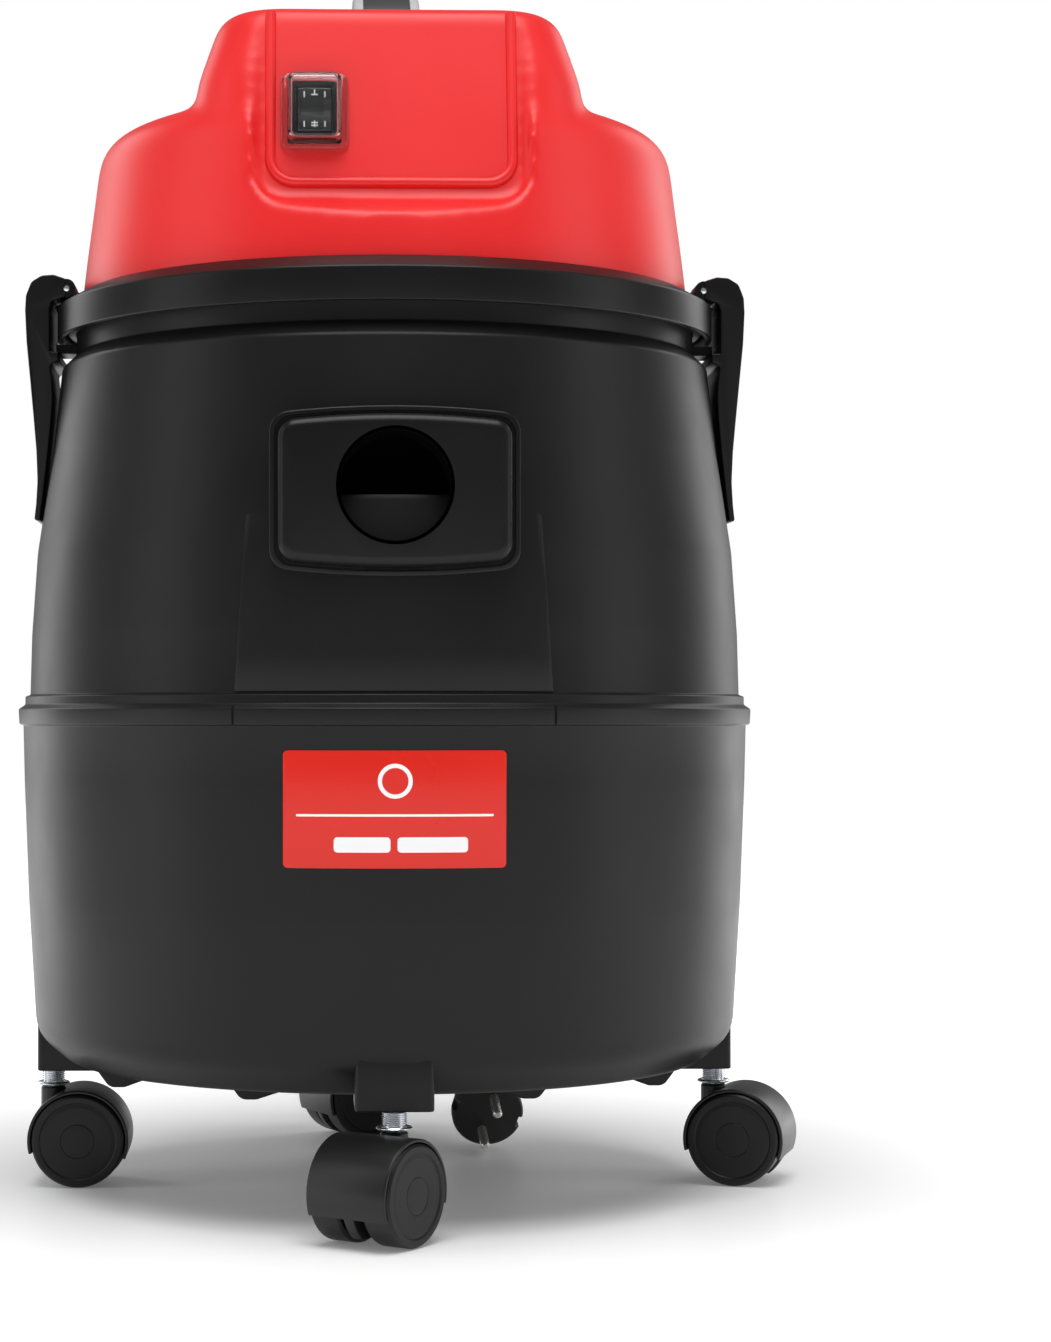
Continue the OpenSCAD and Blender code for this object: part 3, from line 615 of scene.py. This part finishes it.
# %% [markdown]
# ## The head's cover
# The cover is a round skirt that grows into a square tower with a soft fillet between them. A spin can't do
# that, because the outline differs from one direction to the next. So a fine grid is bent round the axis, and
# each of its lines is laid along the outline for its own direction.

# %% The cover's skin
PANEL_LEAN = 12
on_panel = shift(0, -122, 455) @ rotation(90 - PANEL_LEAN, "X")
SKIRT = [(144.5, 412), (144.5, 423), (143.4, 432), (142, 443.5), (138.9, 466), (137, 481.5), (135.6, 488),
         (132.6, 492.6), (128, 496.2), (117.5, 499.8), (106, 503.4), (95, 505.8), (60, 507)]
TOWER = [(472, 89, -121, 92, 33), (508, 87, -114, 85.5, 32), (536, 77.5, -106, 77.5, 28),
         (541, 71, -99, 71, 22)]
SPOKES, RINGS = 240, 120


def tower_at(z):
    """Half width, front, back and corner radius of the tower at a height."""
    for low, high in zip(TOWER, TOWER[1:]):
        if z <= high[0] or high is TOWER[-1]:
            t = (z - low[0]) / (high[0] - low[0])
            return [a + (b - a) * t for a, b in zip(low[1:], high[1:])]


def reach(angle, z):
    """Distance from the axis to the tower's wall in one direction."""
    half_x, front, back, corner = tower_at(z)
    middle, half_y = (front + back) / 2, (back - front) / 2
    near, far = 0.0, 300.0
    for _ in range(30):
        here = (near + far) / 2
        x, y = abs(math.cos(angle) * here), abs(math.sin(angle) * here - middle)
        dx, dy = max(x - half_x + corner, 0), max(y - half_y + corner, 0)
        inside_it = math.hypot(dx, dy) < corner and x < half_x and y < half_y
        near, far = (here, far) if inside_it else (near, here)
    return near


def spoke(angle):
    """The cover's outline in one direction: skirt, shoulder, wall and top, evenly spaced and softened."""
    rough = []
    for (r0, z0), (r1, z1) in zip(SKIRT, SKIRT[1:]):
        for k in range(6):
            r, z = r0 + (r1 - r0) * k / 6, z0 + (z1 - z0) * k / 6
            if z < 480 or r > reach(angle, z):
                rough.append((r, z))
    start = rough[-1][1]
    rough += [(reach(angle, z), z) for z in [start + (541 - start) * k / 24 for k in range(1, 25)]]
    rough.append((0.0, 541.0))
    lengths = [0.0]
    for a, b in zip(rough, rough[1:]):
        lengths.append(lengths[-1] + math.dist(a, b))
    even, k = [], 0
    for i in range(RINGS):
        want = lengths[-1] * i / (RINGS - 1)
        while k < len(rough) - 2 and lengths[k + 1] < want:
            k += 1
        t = (want - lengths[k]) / (lengths[k + 1] - lengths[k])
        even.append([a + (b - a) * t for a, b in zip(rough[k], rough[k + 1])])
    for _ in range(6):
        even = [even[0], *[[(a + 2 * b + c) / 4 for a, b, c in zip(*three)] for three in
                           zip(even, even[1:], even[2:])], even[-1]]
    return even


nothing_selected()
bpy.ops.mesh.primitive_grid_add(x_subdivisions=RINGS - 1, y_subdivisions=SPOKES)
cover = named("cover")
outlines = [spoke(math.tau * i / SPOKES) for i in range(SPOKES)]
assert len(cover.data.vertices) == RINGS * (SPOKES + 1), len(cover.data.vertices)
for i in range(SPOKES + 1):
    angle = math.tau * (i % SPOKES) / SPOKES
    for k, (r, z) in enumerate(outlines[i % SPOKES]):
        cover.data.vertices[i * RINGS + k].co = (r * MM * math.cos(angle), r * MM * math.sin(angle), z * MM)
only(cover)
bpy.ops.object.mode_set(mode="EDIT")
bpy.ops.mesh.select_all(action="SELECT")
bpy.ops.mesh.remove_doubles(threshold=2e-5)
bpy.ops.mesh.select_all(action="DESELECT")
bpy.ops.mesh.select_non_manifold()
bpy.ops.mesh.edge_face_add()
bpy.ops.object.mode_set(mode="OBJECT")
outward(cover)
print("cover skin", len(cover.data.polygons), "faces")

# %% [markdown]
# The switch panel is a flat hollow in the tower's front whose floor leans back and whose foot slopes out to
# the skirt. The top has a well for the fingers that lift the vacuum. Both are cut while the cover is still
# solid. A voxel remesh then lets one smoothing pass round every edge alike, as a mould would, and only
# after that is the solid hollowed to a wall.

# %% The panel, the well and the cover's wall
def drafted(name, near_outline, far_outline, near, far, place):
    """A solid between two outlines of (x, y, radius) at two heights."""
    loops = []
    for outline, height in ((near_outline, near), (far_outline, far)):
        loop = [outline[-1], *outline, outline[0]]
        flat = rounded_corners(loop, 6)[1:-1]
        piece = line_of_points(name, [Vector((p.x * MM, p.y * MM, height * MM)) for p in flat])
        bpy.ops.object.mode_set(mode="EDIT")
        bpy.ops.mesh.select_all(action="SELECT")
        bpy.ops.mesh.edge_face_add()
        bpy.ops.object.mode_set(mode="OBJECT")
        loops.append(piece)
    piece = joined(name, loops)
    bpy.ops.object.mode_set(mode="EDIT")
    bpy.ops.mesh.select_all(action="SELECT")
    bpy.ops.mesh.bridge_edge_loops()
    bpy.ops.object.mode_set(mode="OBJECT")
    outward(piece)
    piece.data.transform(place)
    return piece


def u_shape(half_w, foot, corner, top=110):
    return [(-half_w, foot, corner), (half_w, foot, corner), (half_w, top, 1), (-half_w, top, 1)]


cut(cover, drafted("hollow", u_shape(60.5, -4, 13), u_shape(64, -28, 22), 0, 32, on_panel))
cut(cover, block("well", (-34, -38, 517), (34, 62, 560), 5))
modified(cover, "REMESH", mode="VOXEL", voxel_size=2.0 * MM)
modified(cover, "SMOOTH", factor=0.5, iterations=9)
only(cover)
bpy.ops.object.mode_set(mode="EDIT")
bpy.ops.mesh.select_all(action="SELECT")
bpy.ops.mesh.bisect(plane_co=(0, 0, 423.1 * MM), plane_no=(0, 0, 1), clear_inner=True)
bpy.ops.object.mode_set(mode="OBJECT")
modified(cover, "SOLIDIFY", thickness=2.6 * MM, offset=-1)
slots = [block("slot", (120, -2.3, 451), (160, 2.3, 475), 2.2, 4, rotation(90 + 5.4 * i, "Z"))
         for i in range(-4, 5)]
slots.append(rod("lead_hole", 8.2, (-10, 120, 436), (-10, 170, 436)))
slots.append(block("switch_hole", (-44.2, 22.3, -9), (-23.8, 49.7, 8), place=on_panel))
cut(cover, joined("slots", slots))

# %% The bead round the panel
def swept(name, path, profile, closed_profile=True, smooth_path=False):
    """Sweeps a flat profile of (x, y) along a path, by way of a curve that is then made a mesh."""
    bend = bpy.data.curves.new("profile", "CURVE")
    bend.dimensions = "2D"
    line = bend.splines.new("POLY")
    line.points.add(len(profile) - 1)
    for point, (x, y) in zip(line.points, profile):
        point.co = (x * MM, y * MM, 0, 1)
    line.use_cyclic_u = closed_profile
    bend_object = bpy.data.objects.new("profile", bend)
    bpy.context.scene.collection.objects.link(bend_object)
    curve = bpy.data.curves.new(name, "CURVE")
    curve.dimensions = "3D"
    line = curve.splines.new("POLY")
    line.points.add(len(path) - 1)
    for point, place in zip(line.points, path):
        point.co = (*[c * MM for c in place], 1)
    curve.bevel_mode, curve.bevel_object, curve.use_fill_caps = "OBJECT", bend_object, True
    curve.twist_mode = "MINIMUM"
    piece = bpy.data.objects.new(name, curve)
    bpy.context.scene.collection.objects.link(piece)
    only(piece)
    bpy.ops.object.convert(target="MESH")
    piece = named(name)
    bpy.data.objects.remove(bend_object)
    return outward(piece)


def round_profile(rx, ry=None, count=16):
    return [(rx * math.cos(math.tau * i / count),
             (ry or rx) * math.sin(math.tau * i / count)) for i in range(count)]


u_line = rounded_corners([(-53.5, 84, 0), (-53.5, 3.5, 11), (53.5, 3.5, 11), (53.5, 84, 0)], 10)
bead = swept("bead", [on_panel @ Vector((p.x * MM, p.y * MM, -0.2 * MM)) / MM for p in u_line],
             round_profile(2.4))
cover = joined("cover", [cover, bead])
finished(smooth(cover, 40), COVER_RED, "vacuum", "cover_red", "head_cover")

# %% [markdown]
# ## The black band and the latches
# A band under the cover reaches over the tank's rim. At each side a lever hangs from it on a pin and hooks
# under the tank's shoulder.

# %% The band
band = turned("rim_band", [
    (20, 406, 1), (23, 406, 1), (23, 412, 1), (140.9, 412, 0), (141, 399, 0.8), (143.5, 399, 0.8),
    (143.5, 412, 0.5), (153.4, 412, 1), (153.4, 402, 0.6), (156.6, 402, 0.7), (156.6, 416.8, 1.6),
    (145.4, 422.9, 0.8), (141.9, 423, 0.3), (141.8, 419, 0.3), (140, 416, 1), (20, 416, 1)], steps=192)
ears = []
for side in (-1, 1):
    ear = plate("ear", [(-3.4, 414, 0), (3.4, 414, 0), (3.4, 428.9, 3.3), (-3.4, 428.9, 3.3)], 16,
                shift(side * 151, 8, 0) @ rotation(90, "X"),
                bevel=0.4, segments=2)
    ears.append(cut(ear, rod("pin_hole", 1.6, (side * 151, -20, 425.5), (side * 151, 20, 425.5))))
band = joined("rim_band", [band, *ears])
finished(smooth(band, 32), TRIM_BLACK, "vacuum", "trim_black", "head_base")

# %% The latches
LEVER = [(151, 429.9, 2), (157, 431.8, 3), (162.5, 431.4, 4), (167.4, 428.4, 4), (169.9, 422, 6),
         (170.3, 415, 10), (169.6, 400, 40), (168, 382, 60), (166.6, 365, 60), (165.4, 349, 60),
         (165.0, 335, 40), (165.7, 324, 20), (166.6, 316.4, 1.1), (163.9, 316.3, 1.1), (162.6, 326, 20),
         (161.1, 338, 40), (159.7, 350, 40), (158, 366, 20), (157.4, 376, 10), (157.8, 383, 8),
         (158.6, 389.5, 2), (154.6, 391.5, 0.6), (154.6, 395.5, 0.6), (158.8, 395.5, 1), (158.8, 416, 2),
         (157.5, 419.5, 2), (151, 421.3, 1)]


def latch(name, turn):
    lever = plate(name, LEVER, 52, shift(0, 26, 0) @ rotation(90, "X"),
                  bevel=0.7)
    knuckle = rod("knuckle", 4.4, (151, -25.6, 425.5), (151, 25.6, 425.5))
    for piece in (lever, knuckle):
        cut(piece, rod("pin_hole", 1.65, (151, -30, 425.5), (151, 30, 425.5)))
        cut(piece, block("gap", (140, -8.5, 410), (158, 8.5, 440)))
    lever = joined(name, [lever, knuckle])
    for point in lever.data.vertices:
        low = max(0.0, (405 * MM - point.co.z) / (88 * MM))
        point.co.y *= 1 - 0.26 * low * low * (3 - 2 * low)
    lever.data.transform(Matrix.Rotation(turn, 4, "Z"))
    return lever


for side, turn in (("right", 0), ("left", math.pi)):
    lever = latch(f"lever_{side}", turn)
    finished(smooth(lever, 40), TRIM_BLACK, f"latch_{side}", "trim_black", f"latch_{side}")

# %% [markdown]
# ## The carry handle and the switch
# The handle is a flat arch over the finger well, with a soft dark strip let into its top. The rocker switch
# sits under a clear boot that keeps dust and water out.

# %% The carry handle
def arch(half_length, rise, foot, count=28):
    """Points along a flat arch, from its back foot to its front foot."""
    return [(half_length * math.cos(math.pi * i / count), foot + rise * math.sin(math.pi * i / count))
            for i in range(count + 1)]


outer = arch(60, 30, 540)
inner = arch(46.5, 22.5, 528)
side_view = [(12 + y, z, 0) for y, z in outer if z > 541] + [(-48, 538.1, 0)]
side_view += [(-34.5, 538.1, 0)] + [(12 + y, z, 0) for y, z in reversed(inner) if z > 538.5]
side_view += [(58.5, 538.1, 0), (72, 538.1, 0)]
across = Matrix(((0, 0, 1, -15.5 * MM), (1, 0, 0, 0), (0, 1, 0, 0), (0, 0, 0, 1)))
handle = plate("handle", side_view, 31, across, bevel=2.2, segments=4)
finished(smooth(handle, 40), EDGE_GREY, "vacuum", "handle_grey", "carry_handle")
strip_line = [(12 + y, z) for y, z in arch(60, 30, 540) if z > 545]
strip_view = [(y, z + 0.75, 0) for y, z in strip_line] + [(y, z - 1.5, 0) for y, z in reversed(strip_line)]
across = Matrix(((0, 0, 1, -11 * MM), (1, 0, 0, 0), (0, 1, 0, 0), (0, 0, 0, 1)))
strip = plate("handle_strip", strip_view, 22, across, bevel=0.5)
finished(smooth(strip, 40), GRIP_BLACK, "vacuum", "trim_black", "handle_insert")

# %% The switch
SWITCH = on_panel @ shift(-34, 36, 0)


def frame_outline(width, height, corner):
    return box_outline(0, 0, width, height, corner)


def at_switch(height):
    return SWITCH @ shift(0, 0, height)


body = plate("switch_frame", frame_outline(24, 31, 2), 2, at_switch(0), bevel=0.6)
box = plate("box", frame_outline(19.6, 26.6, 1.5), 26, at_switch(-24), bevel=0.4)
cut(box, plate("inside", frame_outline(16, 23, 1), 20, at_switch(-12)))
cut(body, plate("inside", frame_outline(16, 23, 1), 20, at_switch(-12)))
body = joined("switch_frame", [body, box])
finished(smooth(body, 40), TRIM_BLACK, "vacuum", "trim_black", "switch_body")
rocker_view = [(-10.2, 2.6, 0.8), (-10.2, 4.15, 0.6), (0, 3.35, 30), (10.2, 4.15, 0.6), (10.2, 2.6, 0.8),
               (3.2, -5.6, 2), (-3.2, -5.6, 2)]
rocker_place = SWITCH @ Matrix(((0, 0, 1, -7.4 * MM), (1, 0, 0, 0), (0, 1, 0, 0), (0, 0, 0, 1)))
rocker = plate("rocker", list(reversed(rocker_view)), 14.8, rocker_place, bevel=0.5)
finished(smooth(rocker, 40), SWITCH_BLACK, "switch_rocker", "switch_black", "switch_rocker")


def mark(x, y, width, height):
    tilt = Matrix.Rotation(math.copysign(math.atan2(0.8, 10.2), y) if abs(y) > 3 else 0, 4, "X")
    lift = 3.35 + abs(y) * 0.8 / 10.2 + 0.02
    return plate("mark", frame_outline(width, height, 0.15), 0.07, at_switch(lift) @ Matrix.Translation(
        (x * MM, y * MM, 0)) @ tilt)


marks = [mark(x, y, 0.6, 2.8) for x in (-4.6, 4.6) for y in (-7, 7)]
marks += [mark(0, 8.0, 0.6, 2.4), mark(0, 6.9, 3.0, 0.6), mark(0, -7, 0.6, 3.2), mark(0, -6.4, 3.0, 0.6),
          mark(0, -7.7, 3.0, 0.6)]
ring = turned("mark", [(1.5, 0, 0), (2.05, 0, 0), (2.05, 0.07, 0), (1.5, 0.07, 0)], steps=40)
ring.data.transform(at_switch(3.37))
marks = joined("switch_marks", [*marks, ring])
finished(marks, MARK_WHITE, "switch_rocker", "switch_black")

boot_foot = plate("boot_foot", frame_outline(30, 36, 4), 3, at_switch(0), bevel=1.1)
boot_dome = plate("boot_dome", frame_outline(24, 31, 3.5), 8, at_switch(2), bevel=1.6, segments=4)
cut(boot_foot, plate("inside", frame_outline(24.2, 31.2, 2), 3, at_switch(-1)))
modified(boot_foot, "BOOLEAN", object=boot_dome, operation="UNION", solver="EXACT")
bpy.data.objects.remove(boot_dome)
cut(boot_foot, plate("inside", frame_outline(21, 28.5, 2.5), 10, at_switch(-1), bevel=1.0))
boot = boot_foot
boot.name = boot.data.name = "clear_cap"
finished(smooth(boot, 30), CLEAR, "vacuum", "clear_boot", "switch_boot")

# %% [markdown]
# ## The casters
# Each caster is a hood over two wheels on one axle, on a zinc stem that screws into the tank. One caster's
# pieces are modelled, then copied round the ring and turned the way each one trails.

# %% One caster
AXLE = 22
HEADINGS = {"right": (0, -19), "rear": (90, 205), "left": (180, 0), "front": (270, 234)}
lying = shift(13, 0, AXLE) @ rotation(90, "X")


def strip_of_hood():
    """The hood: a strip with rolled edges, spun over the wheels, lower on the side that trails."""
    outline = [(22.4, -20, 0.5), (24, -20, 0.7), (24, 20, 0.7), (22.4, 20, 0.5)]
    flat = rounded_corners([outline[-1], *outline, outline[0]], 4)[1:-1]
    start = math.radians(21)
    piece = line_of_points("hood",
                           [Vector((p.x * math.cos(start), p.x * math.sin(start), p.y)) * MM for p in flat])
    bpy.ops.object.mode_set(mode="EDIT")
    bpy.ops.mesh.select_all(action="SELECT")
    bpy.ops.mesh.edge_face_add()
    bpy.ops.mesh.spin(steps=72, angle=math.pi + math.radians(35.5), center=(0, 0, 0), axis=(0, 0, 1))
    bpy.ops.object.mode_set(mode="OBJECT")
    outward(piece)
    high = max((piece.data.vertices), key=lambda v: v.co.y).co.y
    if high < 20 * MM:
        piece.data.transform(Matrix.Rotation(math.pi, 4, "X"))
    piece.data.transform(lying)
    return piece


def wheel(side):
    outline = [(0, 20.2, 0), (2.06, 20.2, 0), (2.06, 3, 0), (6, 3, 0.4), (6, 6.4, 0.4), (20.6, 6, 0.6),
               (22, 7.2, 1.2), (22, 19.6, 1.2), (20.8, 20.8, 0.5), (18.4, 20.8, 0.3), (17.8, 20.2, 0.3),
               (16, 20.5, 0.3), (8.3, 20.7, 0.2), (8, 20.45, 0.1), (7.7, 20.7, 0.2), (0, 20.8, 0)]
    piece = turned("wheel", outline, steps=96, closed=False)
    piece.data.transform(shift(13, 0, AXLE) @ rotation(-90 * side, "X"))
    return outward(piece)


def housing():
    hood = strip_of_hood()
    web = rod("web", 23, (13, -2.5, AXLE), (13, 2.5, AXLE), 96)
    modified(web, "BEVEL", width=0.5 * MM, segments=2, limit_method="ANGLE", angle_limit=math.radians(50))
    cut(web, block("below", (-40, -20, -20), (60, 20, 4.2)))
    neck = turned("neck", [(4.06, 28, 0), (6, 28, 0), (6, 45.4, 0.8), (5.2, 46.4, 0.4), (4.06, 46.4, 0)],
                  steps=64)
    cut(web, rod("axle_hole", 2, (13, -21, AXLE), (13, 21, AXLE)))
    return joined("housing", [hood, web, neck])


def threaded_stem():
    """A zinc stem: a plain pin in the neck, a washer, then a thread up into the boss."""
    ridges = []
    for k in range(7):
        ridges += [(4.75, 48.7 + 0.9 * k, 0), (5.45, 49.15 + 0.9 * k, 0)]
    outline = [(0, 41, 0), (4, 41, 0.4), (4, 47, 0), (7.2, 47, 0.3), (8, 47.6, 0.3), (7.2, 48.4, 0.3),
               (4.75, 48.4, 0), *ridges, (4.75, 55, 0), (5, 55.2, 0), (5, 75, 0), (4, 77, 0.5), (0, 77, 0)]
    return turned("stem", outline, steps=64, closed=False)


def axle():
    piece = rod("axle", 2, (13, -19, AXLE), (13, 19, AXLE), 40)
    return modified(piece, "BEVEL", width=0.3 * MM, segments=2, limit_method="ANGLE",
                    angle_limit=math.radians(50))


patterns = {"stem": (threaded_stem(), ZINC, "zinc"), "housing": (housing(), CASTER_BLACK, "caster_black"),
            "axle": (axle(), ZINC, "zinc"), "wheel_a": (wheel(-1), WHEEL_BLACK, "wheel_black"),
            "wheel_b": (wheel(1), WHEEL_BLACK, "wheel_black")}

# %% Four casters
for place, (round_the_tank, heading) in HEADINGS.items():
    out = rotation(round_the_tank, "Z") @ Vector((159 * MM, 0, 0))
    stand = Matrix.Translation(out) @ rotation(heading, "Z")
    for part, (pattern, finish, slot) in patterns.items():
        name = f"caster_{place}_{part}"
        piece = bpy.data.objects.new(f"{place}_{part}", pattern.data.copy())
        piece.data.name = piece.name
        bpy.context.scene.collection.objects.link(piece)
        piece.data.transform(stand)
        body = {"stem": "vacuum", "wheel_a": f"caster_{place}_wheel_a",
                "wheel_b": f"caster_{place}_wheel_b"}.get(part, f"caster_{place}")
        finished(smooth(piece, 35), finish, body, slot, name)
for pattern, _, _ in patterns.values():
    bpy.data.objects.remove(pattern)

# %% [markdown]
# ## The parts that stay as they came
# The motor, the fan, the filter and the small hardware sit out of sight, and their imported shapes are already
# right. Each gets its material, shared points and a narrow bevel, so that its edges catch the light.

# %% Inner parts
shown = [node for node in frame["nodes"].values() if not node.hide_render]
for node in shown:
    for face in node.data.polygons:
        face.use_smooth = True
    weld = node.modifiers.new("weld", "WELD")
    weld.merge_threshold = 1e-5
    edge = node.modifiers.new("edge", "BEVEL")
    edge.width, edge.segments, edge.limit_method = 0.25 * MM, 2, "ANGLE"
    edge.angle_limit, edge.harden_normals = math.radians(40), True
print("kept as packed:", len(shown))

# %% [markdown]
# ## Floor and light
# The studio is white all round. Four tall soft boxes, two beside the vacuum and two behind it, draw the
# pale streaks down the tank's sides, and a wide one above lights the cover.

# %% The floor and the light
nothing_selected()
bpy.ops.mesh.primitive_plane_add(size=12, location=(0, 0, -0.0002))
floor = named("floor")
pale = bpy.data.materials.new("pale_floor")
pale.use_nodes = True
paint, wires = pale.node_tree.nodes["Principled BSDF"], pale.node_tree.links
paint.inputs["Base Color"].default_value = (0.93, 0.93, 0.93, 1)
paint.inputs["Roughness"].default_value = 0.35
# Far from the vacuum the floor glows a little, so that it runs into the white room without a line
paint.inputs["Emission Color"].default_value = (1, 1, 1, 1)
where = pale.node_tree.nodes.new("ShaderNodeTexCoord")
far = pale.node_tree.nodes.new("ShaderNodeVectorMath")
far.operation = "LENGTH"
glow = pale.node_tree.nodes.new("ShaderNodeMapRange")
glow.inputs["From Min"].default_value, glow.inputs["From Max"].default_value = 0.15, 0.75
glow.inputs["To Min"].default_value, glow.inputs["To Max"].default_value = 0.1, 0.9
wires.new(where.outputs["Object"], far.inputs[0])
wires.new(far.outputs["Value"], glow.inputs["Value"])
wires.new(glow.outputs["Result"], paint.inputs["Emission Strength"])
floor.data.materials.append(pale)


def softbox(name, place, aim, width, height, power):
    data = bpy.data.lights.new(name, "AREA")
    data.shape = "RECTANGLE"
    data.size, data.size_y, data.energy = width, height, power
    lamp = bpy.data.objects.new(name, data)
    bpy.context.scene.collection.objects.link(lamp)
    lamp.location = place
    lamp.rotation_euler = (Vector(aim) - Vector(place)).to_track_quat("-Z", "Y").to_euler()


softbox("left_box", (-1.6, -0.45, 0.8), (0, 0, 0.3), 0.7, 1.6, 5)
softbox("left_back_box", (-1.3, 1.2, 0.7), (0, 0, 0.3), 0.7, 1.7, 8)
softbox("right_box", (1.6, -0.45, 0.8), (0, 0, 0.3), 0.7, 1.6, 5)
softbox("right_back_box", (1.3, 1.2, 0.7), (0, 0, 0.3), 0.7, 1.7, 8)
softbox("top_box", (0, -0.7, 2.2), (0, 0, 0.3), 1.6, 1.6, 44)
world = bpy.data.worlds.new("studio")
bpy.context.scene.world = world
world.use_nodes = True
room = world.node_tree.nodes["Background"]
room.inputs["Color"].default_value = (1, 1, 1, 1)
room.inputs["Strength"].default_value = 0.22
paper = world.node_tree.nodes.new("ShaderNodeBackground")
paper.inputs["Strength"].default_value = 1.0
paper.inputs["Color"].default_value = (1, 1, 1, 1)
seen = world.node_tree.nodes.new("ShaderNodeLightPath")
either = world.node_tree.nodes.new("ShaderNodeMixShader")
world.node_tree.links.new(seen.outputs["Is Camera Ray"], either.inputs["Fac"])
world.node_tree.links.new(room.outputs["Background"], either.inputs[1])
world.node_tree.links.new(paper.outputs["Background"], either.inputs[2])
world.node_tree.links.new(either.outputs["Shader"], world.node_tree.nodes["World Output"].inputs["Surface"])
